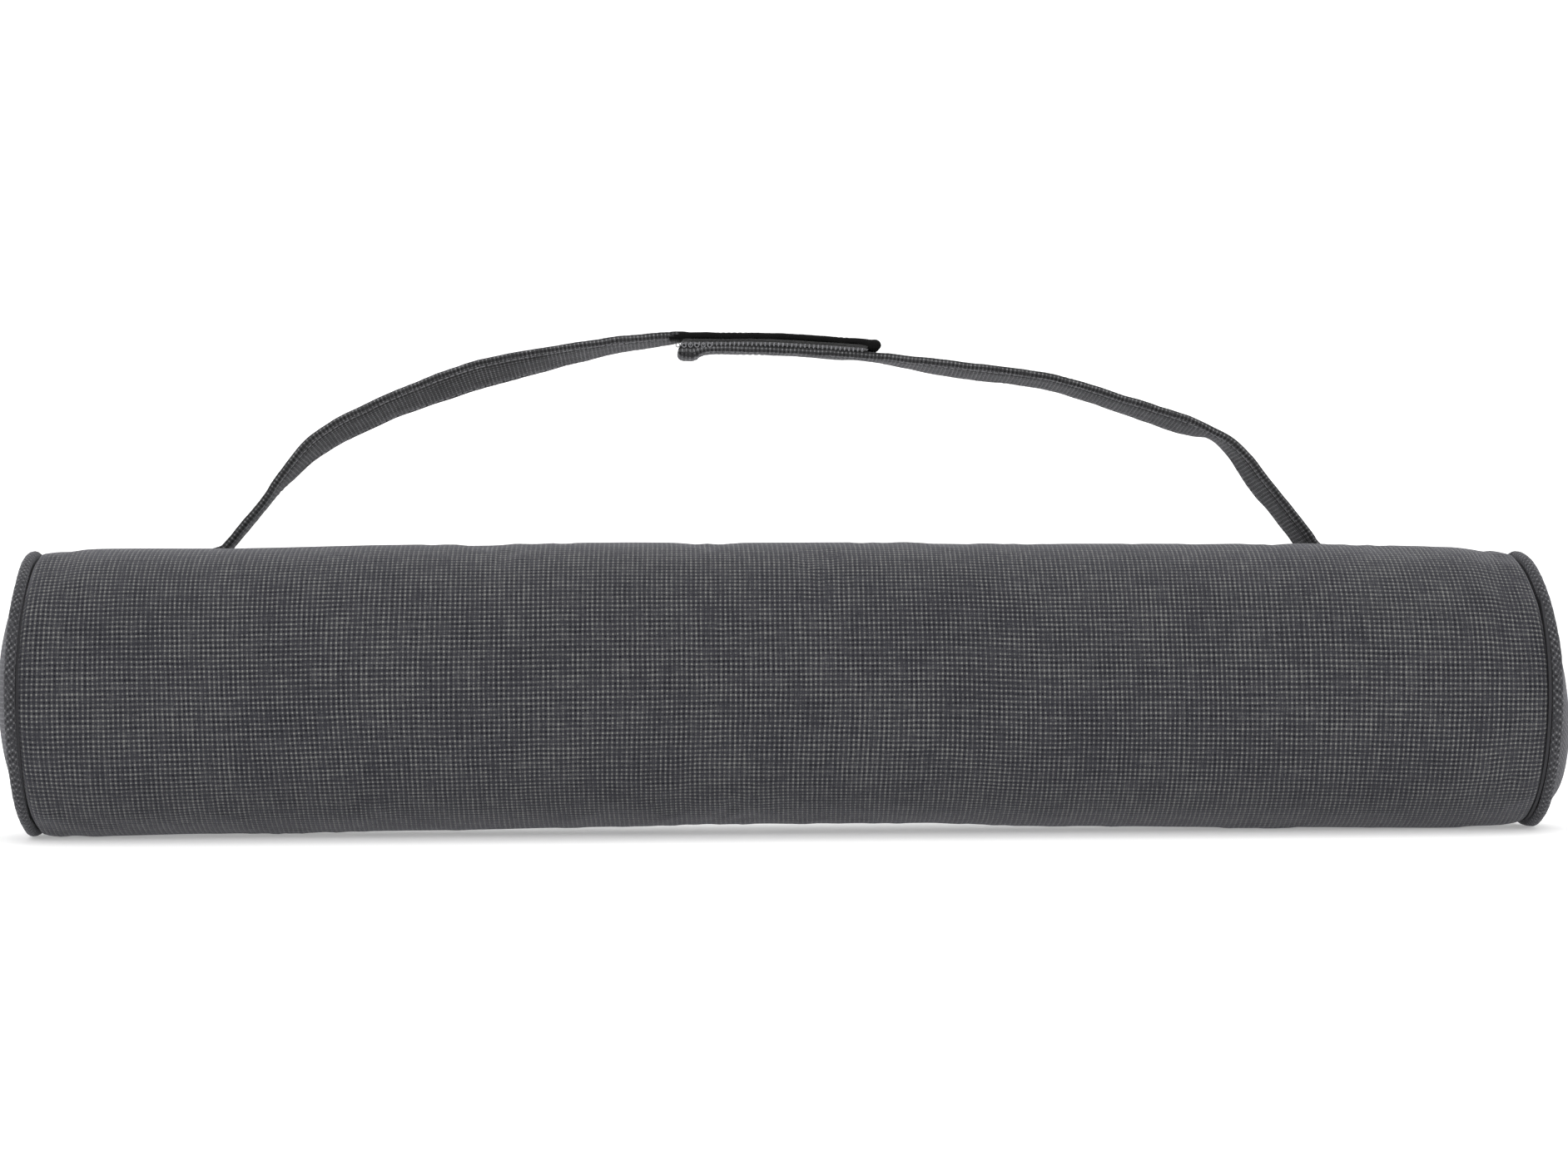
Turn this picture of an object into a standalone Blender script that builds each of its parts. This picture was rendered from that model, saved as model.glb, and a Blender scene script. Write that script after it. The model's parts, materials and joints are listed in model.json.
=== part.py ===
"""Rope storage bag: a padded cloth cylinder with a zipped mouth in its back and a two-part strap.

Metres, +Z up. The bag lies along X on its slightly flattened base, and the origin is the middle of that base.
-Y is the plain front and +Y the back, where the zip is. Angles round the body are measured from its
top, positive towards the back. At the zip, "across" is the distance round the body from the zip's middle
line, and "proud" is the height over the outer cloth.
"""

import math

import bmesh
import bpy
from mathutils import Vector

# ---------------------------------------------------------------- driving dimensions

BODY_LENGTH = 0.626  # between the two end seams
BODY_RADIUS = 0.061  # to the outside of the outer cloth
BASE_SAG = 0.002  # how far the round body flattens on what it lies on
CLOTH = 0.0012
PADDING = 0.005
LINING = 0.0008
GAP = 0.0003  # between pieces that touch on the real bag
END_ROUNDING = 0.002  # how far the outer cloth draws in towards each end seam
END_ROUNDING_LENGTH = 0.012

PIPING_DIAMETER = 0.0055
END_DOME = 0.0095  # how far the middle of an end panel bulges
END_STIFFENER = 0.005
SEAM_BINDING = 0.0012

ZIP_ANGLE = math.radians(75)
MOUTH_LENGTH = 0.420
LIP_REACH = 0.040  # from the zip's middle to the line where a lip bends
SLIT_HALF = 0.0035  # from the zip's middle to the edge of the outer cloth
TAPE_HALF = 0.014
TAPE = 0.0006
FACING = 0.0008
CHAIN_INNER = 0.0005  # from the zip's middle to the near side of a row of teeth
CHAIN_WIDTH = 0.0012
CHAIN_HEIGHT = 0.0022
CHAIN_DEPTH = 0.0008  # the teeth's top, under the outer surface
PARK_LENGTH = 0.020  # from the mouth's end to the middle of the parked slider
ZIP_TAIL = 0.012  # the slit that goes on past the parked slider's middle

SLIDER_LENGTH = 0.011
SLIDER_WALL = 0.0011
NECK = 0.0004
BRIDGE_LENGTH = 0.0072
BRIDGE_WIDTH = 0.0012
BRIDGE_BAR = 0.0008
PULL_LENGTH = 0.018
PULL_WIDTH = 0.0052
PULL_THICKNESS = 0.001

STRAP_WIDTH = 0.020
STRAP_THICKNESS = 0.0032
STRAP_ANGLE = math.radians(26)  # where the sewn feet lie on the body
LEFT_ROOT_INSET = 0.0775  # from the end seam to the fold where the strap leaves its foot
RIGHT_ROOT_INSET = 0.0864
FOOT_LENGTH = 0.032
FOOT_THICKNESS = 0.0012
FOOT_TURN_START = 0.0095  # from the fold line to where the foot starts to turn up off the body
FOOT_TURN_MIDDLE = 0.0050
ROOT_CLEARANCE = 0.0014
STRAP_CHAMFER = 0.0006
CLOSURE_MIDDLE = -0.0025
CLOSURE_OVERLAP = 0.088
TONGUE_THICKNESS = 0.0024
PAD_THICKNESS = 0.001  # of the hook pad and of the loop pad
PAD_WIDTH = 0.019

ROUND_STEPS = 48  # faces round the body

# ---------------------------------------------------------------- sizes that follow

HALF_LENGTH = BODY_LENGTH / 2
CENTRE_Z = BODY_RADIUS - BASE_SAG
PADDING_RADIUS = BODY_RADIUS - CLOTH - GAP
LINING_RADIUS = PADDING_RADIUS - PADDING - GAP
CAVITY_RADIUS = LINING_RADIUS - LINING
INNER_HALF_LENGTH = HALF_LENGTH - SEAM_BINDING - GAP
PIPING_RADIUS = BODY_RADIUS - END_ROUNDING / 5 - PIPING_DIAMETER / 2
PARKED_X = MOUTH_LENGTH / 2 + PARK_LENGTH
ZIP_END = PARKED_X + ZIP_TAIL
STRAP_Y = (BODY_RADIUS + GAP + FOOT_THICKNESS / 2) * math.sin(STRAP_ANGLE)
FOOT_Z = CENTRE_Z + (BODY_RADIUS + GAP + FOOT_THICKNESS / 2) * math.cos(STRAP_ANGLE)
NEAR_EDGE_Y = STRAP_Y - STRAP_WIDTH / 2
ROOT_Z = (
    CENTRE_Z
    + math.sqrt(BODY_RADIUS**2 - NEAR_EDGE_Y**2)
    + FOOT_THICKNESS
    + STRAP_THICKNESS / 2
    + GAP
    + ROOT_CLEARANCE
)
LEFT_ROOT_X = LEFT_ROOT_INSET - HALF_LENGTH
RIGHT_ROOT_X = HALF_LENGTH - RIGHT_ROOT_INSET
CLOSURE_LEFT = CLOSURE_MIDDLE - CLOSURE_OVERLAP / 2
CLOSURE_RIGHT = CLOSURE_MIDDLE + CLOSURE_OVERLAP / 2
FOOT_GAP = STRAP_THICKNESS / 2 + 2 * GAP  # from the fold line to the end of the foot

# Each strap half from its root to the closure: share of the way along X, height over the root, and lean
# in degrees.
LEFT_ARCH = (
    (0.0, 0.0, 0),
    (0.05, 0.0125, -3),
    (0.125, 0.0295, 3),
    (0.21, 0.0435, 14),
    (0.345, 0.056, 16),
    (0.51, 0.0675, 19),
    (0.73, 0.0775, 13),
    (0.88, 0.0826, 5),
    (1.0, 0.0855, 0),
)
RIGHT_ARCH = (
    (0.0, 0.0, 0),
    (0.05, 0.0073, 2),
    (0.086, 0.0156, 5),
    (0.125, 0.0248, 7),
    (0.164, 0.0337, 9),
    (0.20, 0.0408, 11),
    (0.25, 0.0452, 11),
    (0.42, 0.0554, 8),
    (0.60, 0.0656, 7),
    (0.81, 0.0711, 6),
    (1.0, 0.0773, 1),
)
# The closure's line: share of the way across it, height over the root of the tongue's middle.
CLOSURE_LINE = ((0.0, 0.0863), (0.5, 0.0860), (1.0, 0.0830))


# ---------------------------------------------------------------- scene and mesh helpers


def clear_scene():
    for scene_object in list(bpy.data.objects):
        bpy.data.objects.remove(scene_object, do_unlink=True)


def make_material(name, colour, roughness, metallic=0.0):
    material = bpy.data.materials.new(name)
    material.use_nodes = True
    shader = material.node_tree.nodes["Principled BSDF"]
    shader.inputs["Base Color"].default_value = (*colour, 1.0)
    shader.inputs["Roughness"].default_value = roughness
    shader.inputs["Metallic"].default_value = metallic
    return material


def loft(mesh, rings, wrap=False):
    """Joins each ring of points to the next with quads, then caps the ends, or wraps the last to the first."""
    made = [[mesh.verts.new(point) for point in ring] for ring in rings]
    pairs = list(zip(made, made[1:]))
    if wrap:
        pairs.append((made[-1], made[0]))
    for first, second in pairs:
        for i in range(len(first)):
            j = (i + 1) % len(first)
            mesh.faces.new((first[i], first[j], second[j], second[i]))
    if not wrap:
        mesh.faces.new(reversed(made[0]))
        mesh.faces.new(made[-1])


def make_object(name, rings, material, wrap=False, crease=35):
    mesh = bmesh.new()
    loft(mesh, rings, wrap)
    bmesh.ops.recalc_face_normals(mesh, faces=mesh.faces)
    data = bpy.data.meshes.new(name)
    mesh.to_mesh(data)
    mesh.free()
    data.shade_smooth()
    data.set_sharp_from_angle(angle=math.radians(crease))
    data.materials.append(material)
    made = bpy.data.objects.new(name, data)
    bpy.context.scene.collection.objects.link(made)
    return made


def make_guide(scene_object):
    scene_object.hide_render = True
    scene_object.display_type = "WIRE"
    return scene_object


def combine(scene_object, tool, operation):
    modifier = scene_object.modifiers.new(operation.lower(), "BOOLEAN")
    modifier.operation = operation
    modifier.solver = "EXACT"
    modifier.object = make_guide(tool)


def set_pivot(scene_object, pivot):
    """Moves the object's origin to its joint's line, with the mesh where it is."""
    for vertex in scene_object.data.vertices:
        vertex.co -= Vector(pivot)
    scene_object.location = pivot


# ---------------------------------------------------------------- shapes on the body


def body_point(x, radius, angle):
    return Vector((x, radius * math.sin(angle), CENTRE_Z + radius * math.cos(angle)))


def round_section(x, radius):
    """The body's round outline with its flat base, at one place along X."""
    flat_half_angle = math.acos((radius - BASE_SAG) / radius)
    limit = math.pi - flat_half_angle
    angles = [limit * (2 * i / ROUND_STEPS - 1) for i in range(ROUND_STEPS + 1)]
    return [body_point(x, radius, angle) for angle in angles]


def make_tube(name, stations, thickness, material):
    """A tube round the body from (x, outer radius) stations."""
    outer = [round_section(x, radius) for x, radius in stations]
    inner = [round_section(x, radius - thickness) for x, radius in reversed(stations)]
    return make_object(name, outer + inner, material, wrap=True)


def make_strip(name, x_range, radii, angles, material, step=math.radians(7.5)):
    """A curved plate on the body, between two radii and two angles."""
    count = max(1, math.ceil(abs(angles[1] - angles[0]) / step))
    rings = []
    for i in range(count + 1):
        angle = angles[0] + (angles[1] - angles[0]) * i / count
        near_side = [body_point(x_range[0], radius, angle) for radius in radii]
        far_side = [body_point(x_range[1], radius, angle) for radius in reversed(radii)]
        rings.append(near_side + far_side)
    return make_object(name, rings, material)


def zip_angle(across):
    return ZIP_ANGLE + across / BODY_RADIUS


def zip_point(x, across, proud):
    """A point by the zip, on the flat plane that touches the body at the zip's middle line."""
    middle = body_point(x, BODY_RADIUS + proud, ZIP_ANGLE)
    return middle + across * Vector((0, math.cos(ZIP_ANGLE), -math.sin(ZIP_ANGLE)))


def make_zip_strip(name, x_range, depths, across, material):
    """A strip beside the zip: depths are under the outer surface, and across is round the body."""
    radii = (BODY_RADIUS - depths[1], BODY_RADIUS - depths[0])
    return make_strip(name, x_range, radii, (zip_angle(across[0]), zip_angle(across[1])), material)


def cut_window(scene_object, name, half_length, half_across, material):
    """Cuts a window through a wall layer, centred on the zip."""
    radii = (CAVITY_RADIUS - PADDING, BODY_RADIUS + PADDING)
    angles = (zip_angle(-half_across), zip_angle(half_across))
    cutter = make_strip(name, (-half_length, half_length), radii, angles, material)
    combine(scene_object, cutter, "DIFFERENCE")


# ---------------------------------------------------------------- body and ends


def outer_radius(x):
    """The outer cloth's radius: full along the bag, drawn in over the last stretch before each end seam."""
    share = max(0.0, (abs(x) - HALF_LENGTH + END_ROUNDING_LENGTH) / END_ROUNDING_LENGTH)
    return BODY_RADIUS - END_ROUNDING * share**2


def wall_stations(half_length, depth):
    """(x, radius) along a wall layer that lies depth under the outer surface."""
    places = [HALF_LENGTH - END_ROUNDING_LENGTH * share for share in (1.0, 0.6, 0.3)]
    half = [x for x in places if x < half_length - GAP] + [half_length]
    whole = [-x for x in reversed(half)] + half
    return [(x, outer_radius(x) - depth) for x in whole]


def make_wall(cloth, foam, lining):
    panel = make_tube("outer_panel", wall_stations(HALF_LENGTH, 0), CLOTH, cloth)
    cut_window(panel, "panel_mouth_cut", MOUTH_LENGTH / 2, LIP_REACH + GAP, cloth)
    cut_window(panel, "panel_slit_cut", ZIP_END, SLIT_HALF, cloth)

    padding_stations = wall_stations(INNER_HALF_LENGTH, BODY_RADIUS - PADDING_RADIUS)
    padding = make_tube("wall_padding", padding_stations, PADDING, foam)
    lining_stations = wall_stations(INNER_HALF_LENGTH, BODY_RADIUS - LINING_RADIUS)
    sleeve = make_tube("lining_sleeve", lining_stations, LINING, lining)
    for layer in (padding, sleeve):
        cut_window(layer, layer.name + "_mouth_cut", MOUTH_LENGTH / 2, LIP_REACH + GAP, foam)
        cut_window(layer, layer.name + "_tail_cut", ZIP_END + TAPE_HALF / 2, TAPE_HALF + GAP, foam)


def make_disc(name, side, x_range, radius, dome, material):
    """A disc across the bag, bulging outwards by dome, from x_range[0] inside to x_range[1] outside."""
    shares = (1.0, 0.93, 0.8, 0.6, 0.35, 0.08) if dome else (1.0, 0.08)
    outside = []
    inside = []
    for share in shares:
        bulge = dome * (1 - share**2.5)
        outside.append(round_section(side * (x_range[1] + bulge), radius * share))
        inside.append(round_section(side * (x_range[0] + bulge), radius * share))
    return make_object(name, list(reversed(outside)) + inside, material)


def make_piping(name, side, material):
    x = side * (HALF_LENGTH + GAP + PIPING_DIAMETER / 2)
    cord_radius = PIPING_DIAMETER / 2
    ring_count = 8
    rings = []
    for i in range(ring_count):
        turn = 2 * math.pi * i / ring_count
        radius = PIPING_RADIUS + cord_radius * math.cos(turn)
        rings.append(round_section(x + cord_radius * math.sin(turn), radius))
    return make_object(name, rings, material, wrap=True, crease=60)


def make_end(side_name, side, cloth, foam, lining, binding):
    rim = PIPING_RADIUS - PIPING_DIAMETER / 2 - GAP
    seam = HALF_LENGTH + GAP
    make_disc("end_panel_" + side_name, side, (seam, seam + CLOTH), rim, END_DOME, cloth)
    make_piping("piping_" + side_name, side, cloth)

    disc_radius = CAVITY_RADIUS - END_ROUNDING - GAP
    outer = INNER_HALF_LENGTH
    inner = outer - END_STIFFENER
    make_disc("end_stiffener_" + side_name, side, (inner, outer), disc_radius, 0.0, foam)
    lining_outer = inner - GAP
    lining_faces = (lining_outer - LINING, lining_outer)
    make_disc("end_lining_" + side_name, side, lining_faces, disc_radius, 0.0, lining)

    binding_radius = PADDING_RADIUS - END_ROUNDING
    stations = [(side * x, binding_radius) for x in (HALF_LENGTH - SEAM_BINDING, HALF_LENGTH)]
    make_tube("seam_binding_" + side_name, stations, PADDING - END_ROUNDING, binding)


# ---------------------------------------------------------------- mouth and zip


def make_lip(side_name, side, cloth, foam, lining, tape_cloth, teeth, binding):
    """One lip of the mouth with its half of the zip; side is -1 for the upper lip and 1 for the lower."""
    x_range = (GAP - MOUTH_LENGTH / 2, MOUTH_LENGTH / 2 - GAP)
    padding_depth = CLOTH + GAP
    lining_depth = padding_depth + PADDING + GAP
    lining_bottom = lining_depth + LINING
    facing_outer = TAPE_HALF + FACING
    padding_edge = facing_outer + GAP
    tape_depth = CLOTH + GAP
    chain_outer = CHAIN_INNER + CHAIN_WIDTH

    pieces = (
        ("lip", 0, CLOTH, (SLIT_HALF, LIP_REACH), cloth),
        ("lip_padding", padding_depth, PADDING, (padding_edge, LIP_REACH), foam),
        ("lip_lining", lining_depth, LINING, (padding_edge, LIP_REACH), lining),
        ("mouth_facing", tape_depth, lining_bottom - tape_depth, (TAPE_HALF, facing_outer), binding),
        ("zip_tape", tape_depth, TAPE, (chain_outer + GAP, TAPE_HALF - GAP), tape_cloth),
        ("zip_teeth", CHAIN_DEPTH, CHAIN_HEIGHT, (CHAIN_INNER, chain_outer), teeth),
    )
    hinge = body_point(0, BODY_RADIUS, zip_angle(side * LIP_REACH))
    for piece, depth, thickness, across, material in pieces:
        span = (side * across[0], side * across[1])
        depths = (depth, depth + thickness)
        made = make_zip_strip(side_name + "_" + piece, x_range, depths, span, material)
        set_pivot(made, hinge)


def make_zip_end(side_name, side, tape_cloth, teeth, metal):
    """The sewn end of the zip past the mouth: its tape, its short run of teeth and its stop."""
    start = MOUTH_LENGTH / 2 + GAP
    chain_outer = CHAIN_INNER + CHAIN_WIDTH
    before = start - TAPE_HALF

    def strip(piece, ends, depths, half_across, material):
        x_range = (side * ends[0], side * ends[1])
        return make_zip_strip(piece + side_name, x_range, depths, (-half_across, half_across), material)

    tape_depths = (CLOTH + GAP, CLOTH + GAP + TAPE)
    tape = strip("zip_end_tape_", (start, ZIP_END + TAPE_HALF / 3), tape_depths, TAPE_HALF, tape_cloth)
    slot_depths = (0, 2 * tape_depths[1])
    slot = strip("tape_slot_cut_", (before, ZIP_END - GAP), slot_depths, chain_outer + GAP, tape_cloth)
    combine(tape, slot, "DIFFERENCE")

    chain_end = PARKED_X + SLIDER_LENGTH / 2 + 2 * SLIDER_WALL
    chain_depths = (CHAIN_DEPTH, CHAIN_DEPTH + CHAIN_HEIGHT)
    chain = strip("zip_end_teeth_", (start, chain_end), chain_depths, chain_outer, teeth)
    channel_depths = (chain_depths[0] - CLOTH, chain_depths[1] + CLOTH)
    channel = strip("teeth_channel_cut_", (before, chain_end - SLIDER_WALL), channel_depths, CHAIN_INNER, teeth)
    combine(chain, channel, "DIFFERENCE")

    stop_depths = (chain_depths[0] - GAP, chain_depths[1] + GAP)
    strip("zip_stop_", (chain_end + GAP, ZIP_END - 2 * GAP), stop_depths, chain_outer, metal)


def make_slider(metal):
    """The slider: two plates with edges that hug the teeth, joined by a neck between the rows."""
    plate_under = -CHAIN_DEPTH + GAP
    plate_top = plate_under + SLIDER_WALL
    lower_top = -CHAIN_DEPTH - CHAIN_HEIGHT - GAP
    lower_under = lower_top - SLIDER_WALL
    tape_top = -CLOTH - GAP
    upper_tip = tape_top + GAP
    lower_tip = tape_top - TAPE - GAP
    inner = CHAIN_INNER + CHAIN_WIDTH + GAP
    outer = SLIT_HALF - 1.5 * GAP
    half = [
        (outer, plate_top),
        (outer, upper_tip),
        (inner, upper_tip),
        (inner, plate_under),
        (NECK / 2, plate_under),
        (NECK / 2, lower_top),
        (inner, lower_top),
        (inner, lower_tip),
        (outer, lower_tip),
        (outer, lower_under),
    ]
    section = half + [(-across, proud) for across, proud in reversed(half)]
    ends = (PARKED_X - SLIDER_LENGTH / 2, PARKED_X + SLIDER_LENGTH / 2)
    rings = [[zip_point(x, across, proud) for across, proud in section] for x in ends]
    slider = make_object("zip_slider", rings, metal)

    pivot_height = plate_top + pull_room()
    bar_under = pivot_height + pull_room()
    bar_top = bar_under + BRIDGE_BAR
    reach = BRIDGE_LENGTH / 2
    post = reach - BRIDGE_BAR
    arch = [
        (-reach, plate_under + GAP),
        (-reach, bar_top),
        (reach, bar_top),
        (reach, plate_under + GAP),
        (post, plate_under + GAP),
        (post, bar_under),
        (-post, bar_under),
        (-post, plate_under + GAP),
    ]
    sides = (-BRIDGE_WIDTH / 2, BRIDGE_WIDTH / 2)
    rings = [[zip_point(PARKED_X + along, across, proud) for along, proud in arch] for across in sides]
    bridge = make_object("bridge_add", rings, metal)
    combine(slider, bridge, "UNION")
    return pivot_height


def pull_room():
    """From the pull's pivot line to the nearest metal: half the diagonal of its crossbar and a gap."""
    return PULL_THICKNESS * math.sqrt(0.5) + GAP


def make_pull(pivot_height, metal):
    """The pull: a flat tab with a window, whose crossbar turns under the slider's bridge."""
    half = PULL_THICKNESS / 2

    def block(name, along, half_across, heights):
        start, end = PARKED_X + along[0], PARKED_X + along[1]
        low, high = pivot_height + heights[0], pivot_height + heights[1]
        corners = ((start, low), (end, low), (end, high), (start, high))
        rings = []
        for across in (-half_across, half_across):
            rings.append([zip_point(x, across, proud) for x, proud in corners])
        return make_object(name, rings, metal)

    pull = block("zip_pull", (-half, PULL_LENGTH - half), PULL_WIDTH / 2, (-half, half))
    window_end = BRIDGE_LENGTH / 2 + 4 * GAP
    window_half = BRIDGE_WIDTH / 2 + 2 * GAP
    window = block("pull_window_cut", (half, window_end), window_half, (-2 * half, 2 * half))
    combine(pull, window, "DIFFERENCE")
    set_pivot(pull, zip_point(PARKED_X, 0, pivot_height))


# ---------------------------------------------------------------- strap


def smooth_curve(points, steps):
    """Points on one smooth curve through the given ones, whatever numbers each holds."""
    ends = [tuple(2 * a - b for a, b in zip(points[0], points[1]))]
    tail = [tuple(2 * a - b for a, b in zip(points[-1], points[-2]))]
    padded = ends + list(points) + tail
    curve = []
    for i in range(1, len(padded) - 2):
        before, here, there, after = padded[i - 1 : i + 3]
        for k in range(steps):
            t = k / steps
            point = []
            for a, b, c, d in zip(before, here, there, after):
                bend = 2 * a - 5 * b + 4 * c - d
                twist = 3 * b - a - 3 * c + d
                point.append(0.5 * (2 * b + (c - a) * t + bend * t**2 + twist * t**3))
            curve.append(tuple(point))
    curve.append(tuple(points[-1]))
    return curve


def make_band(name, stations, width, material):
    """A flat band along (x, z, lean in degrees, thickness) stations, its width across the bag.

    A positive lean lifts the band's front edge."""
    rings = []
    for i, (x, z, lean, thickness) in enumerate(stations):
        before = stations[max(i - 1, 0)]
        after = stations[min(i + 1, len(stations) - 1)]
        along = Vector((after[0] - before[0], 0, after[1] - before[1])).normalized()
        if along.x < 0:
            along.negate()
        up = Vector((-along.z, 0, along.x))
        turn = math.radians(lean)
        back = Vector((0, 1, 0))
        across = back * math.cos(turn) - up * math.sin(turn)
        through = up * math.cos(turn) + back * math.sin(turn)
        half_width = width / 2
        half = thickness / 2
        chamfer = min(half / 2, STRAP_CHAMFER)
        outline = (
            (half_width, half - chamfer),
            (half_width - chamfer, half),
            (chamfer - half_width, half),
            (-half_width, half - chamfer),
            (-half_width, chamfer - half),
            (chamfer - half_width, -half),
            (half_width - chamfer, -half),
            (half_width, chamfer - half),
        )
        middle = Vector((x, STRAP_Y, z))
        rings.append([middle + across * a + through * b for a, b in outline])
    return make_object(name, rings, material)


def arch_stations(arch, root_x, closure_x):
    """The stations of one strap half, from its round-ended root to the closure."""
    span = closure_x - root_x
    points = [(root_x + share * span, ROOT_Z + height, lean) for share, height, lean in arch]
    curve = [(*point, STRAP_THICKNESS) for point in smooth_curve(points, 5)]
    root, following = curve[0], curve[1]
    step = math.hypot(following[0] - root[0], following[1] - root[1])
    half = STRAP_THICKNESS / 2
    rounded = []
    for share in (0.92, 0.6):
        back_by = share * half
        x = root[0] - (following[0] - root[0]) / step * back_by
        z = root[1] - (following[1] - root[1]) / step * back_by
        rounded.append((x, z, root[2], 2 * math.sqrt(half**2 - back_by**2)))
    return rounded + curve


def closure_stations(drop, thickness, x_range):
    """Stations across the closure, drop below the tongue's middle line."""
    top = ROOT_Z - drop
    points = [(CLOSURE_LEFT + share * CLOSURE_OVERLAP, top + height) for share, height in CLOSURE_LINE]
    curve = smooth_curve(points, 6)
    inside = [point for point in curve if x_range[0] <= point[0] <= x_range[1]]
    return [(x, z, 0.0, thickness) for x, z in inside]


def make_foot(name, side, arch, root_x, closure_x, material):
    """The strap's sewn end: flat on the body, then turning up in line with the strap half."""
    run = arch[1][0] * (closure_x - root_x)
    rise = arch[1][1]
    reach = FOOT_GAP / math.hypot(run, rise)
    end_x = root_x - run * reach
    end_z = ROOT_Z - rise * reach
    climb = end_z - FOOT_Z
    flat_lean = math.degrees(STRAP_ANGLE)
    root_lean = arch[0][2]
    points = (
        (root_x + side * FOOT_LENGTH, FOOT_Z, flat_lean, FOOT_THICKNESS),
        (root_x + side * FOOT_LENGTH / 2, FOOT_Z, flat_lean, FOOT_THICKNESS),
        (root_x + side * FOOT_TURN_START, FOOT_Z + climb / 6, 0.9 * flat_lean, 1.3 * FOOT_THICKNESS),
        (root_x + side * FOOT_TURN_MIDDLE, FOOT_Z + climb / 2, 0.5 * flat_lean, 1.5 * FOOT_THICKNESS),
        (end_x, end_z, root_lean, STRAP_THICKNESS / 2),
    )
    make_band(name, smooth_curve(points, 3), STRAP_WIDTH, material)


def make_strap(strap_cloth, hook_black, loop_grey):
    left_root = (LEFT_ROOT_X, STRAP_Y, ROOT_Z)
    right_root = (RIGHT_ROOT_X, STRAP_Y, ROOT_Z)
    left_end = CLOSURE_LEFT - GAP
    make_foot("strap_foot_left", -1, LEFT_ARCH, LEFT_ROOT_X, left_end, strap_cloth)
    make_foot("strap_foot_right", 1, RIGHT_ARCH, RIGHT_ROOT_X, CLOSURE_RIGHT, strap_cloth)

    left_stations = arch_stations(LEFT_ARCH, LEFT_ROOT_X, left_end)
    left = make_band("strap_left", left_stations, STRAP_WIDTH, strap_cloth)
    hook_drop = TONGUE_THICKNESS / 2 + GAP + PAD_THICKNESS / 2
    loop_drop = hook_drop + PAD_THICKNESS + GAP
    strap_drop = loop_drop + PAD_THICKNESS / 2 + GAP + STRAP_THICKNESS / 2
    whole = (CLOSURE_LEFT, CLOSURE_RIGHT)
    tongue_stations = closure_stations(0, TONGUE_THICKNESS, whole)
    tongue = make_band("hook_tongue", tongue_stations, STRAP_WIDTH, hook_black)
    inset = (CLOSURE_LEFT + 2 * STRAP_THICKNESS, CLOSURE_RIGHT - STRAP_THICKNESS)
    hook_stations = closure_stations(hook_drop, PAD_THICKNESS, inset)
    hook_pad = make_band("hook_pad", hook_stations, PAD_WIDTH, hook_black)
    for piece in (left, tongue, hook_pad):
        set_pivot(piece, left_root)

    arch = arch_stations(RIGHT_ARCH, RIGHT_ROOT_X, CLOSURE_RIGHT)
    overlap = list(reversed(closure_stations(strap_drop, STRAP_THICKNESS, whole)))
    right = make_band("strap_right", arch[:-1] + overlap, STRAP_WIDTH, strap_cloth)
    loop_stations = closure_stations(loop_drop, PAD_THICKNESS, inset)
    loop_pad = make_band("loop_pad", loop_stations, PAD_WIDTH, loop_grey)
    for piece in (right, loop_pad):
        set_pivot(piece, right_root)


# ---------------------------------------------------------------- the bag


def build():
    clear_scene()
    cloth = make_material("woven_cloth", (0.068, 0.068, 0.073), 0.9)
    foam = make_material("closed_cell_foam", (0.25, 0.25, 0.26), 0.85)
    lining = make_material("lining_cloth", (0.035, 0.035, 0.038), 0.8)
    binding = make_material("binding_tape", (0.02, 0.02, 0.021), 0.85)
    tape_cloth = make_material("zip_tape_cloth", (0.02, 0.02, 0.021), 0.85)
    teeth = make_material("zip_teeth_plastic", (0.015, 0.015, 0.016), 0.4)
    metal = make_material("painted_slider_metal", (0.02, 0.02, 0.02), 0.35, 0.6)
    hook_black = make_material("hook_tape", (0.012, 0.012, 0.012), 0.8)
    loop_grey = make_material("loop_tape", (0.05, 0.05, 0.05), 0.95)

    make_wall(cloth, foam, lining)
    for side_name, side in (("left", -1), ("right", 1)):
        make_end(side_name, side, cloth, foam, lining, binding)
        make_zip_end(side_name, side, tape_cloth, teeth, metal)
    make_lip("upper", -1, cloth, foam, lining, tape_cloth, teeth, binding)
    make_lip("lower", 1, cloth, foam, lining, tape_cloth, teeth, binding)
    make_pull(make_slider(metal), metal)
    make_strap(cloth, hook_black, loop_grey)


build()
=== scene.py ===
"""Rope storage bag: the cloth, strap, zip and stitching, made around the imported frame.

Metres, +Z up, the bag along X with its plain front at -Y. Every cloth piece is cut flat first, with its
flat cut kept as the UV map "cut" in metres, and is then laid over its shape, so weave runs as it would.
Angles round the bag are measured from its top, positive towards the back, where the zip is.
"""

import json
import math

import bpy
import numpy as np
from mathutils import Matrix, Vector


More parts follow.
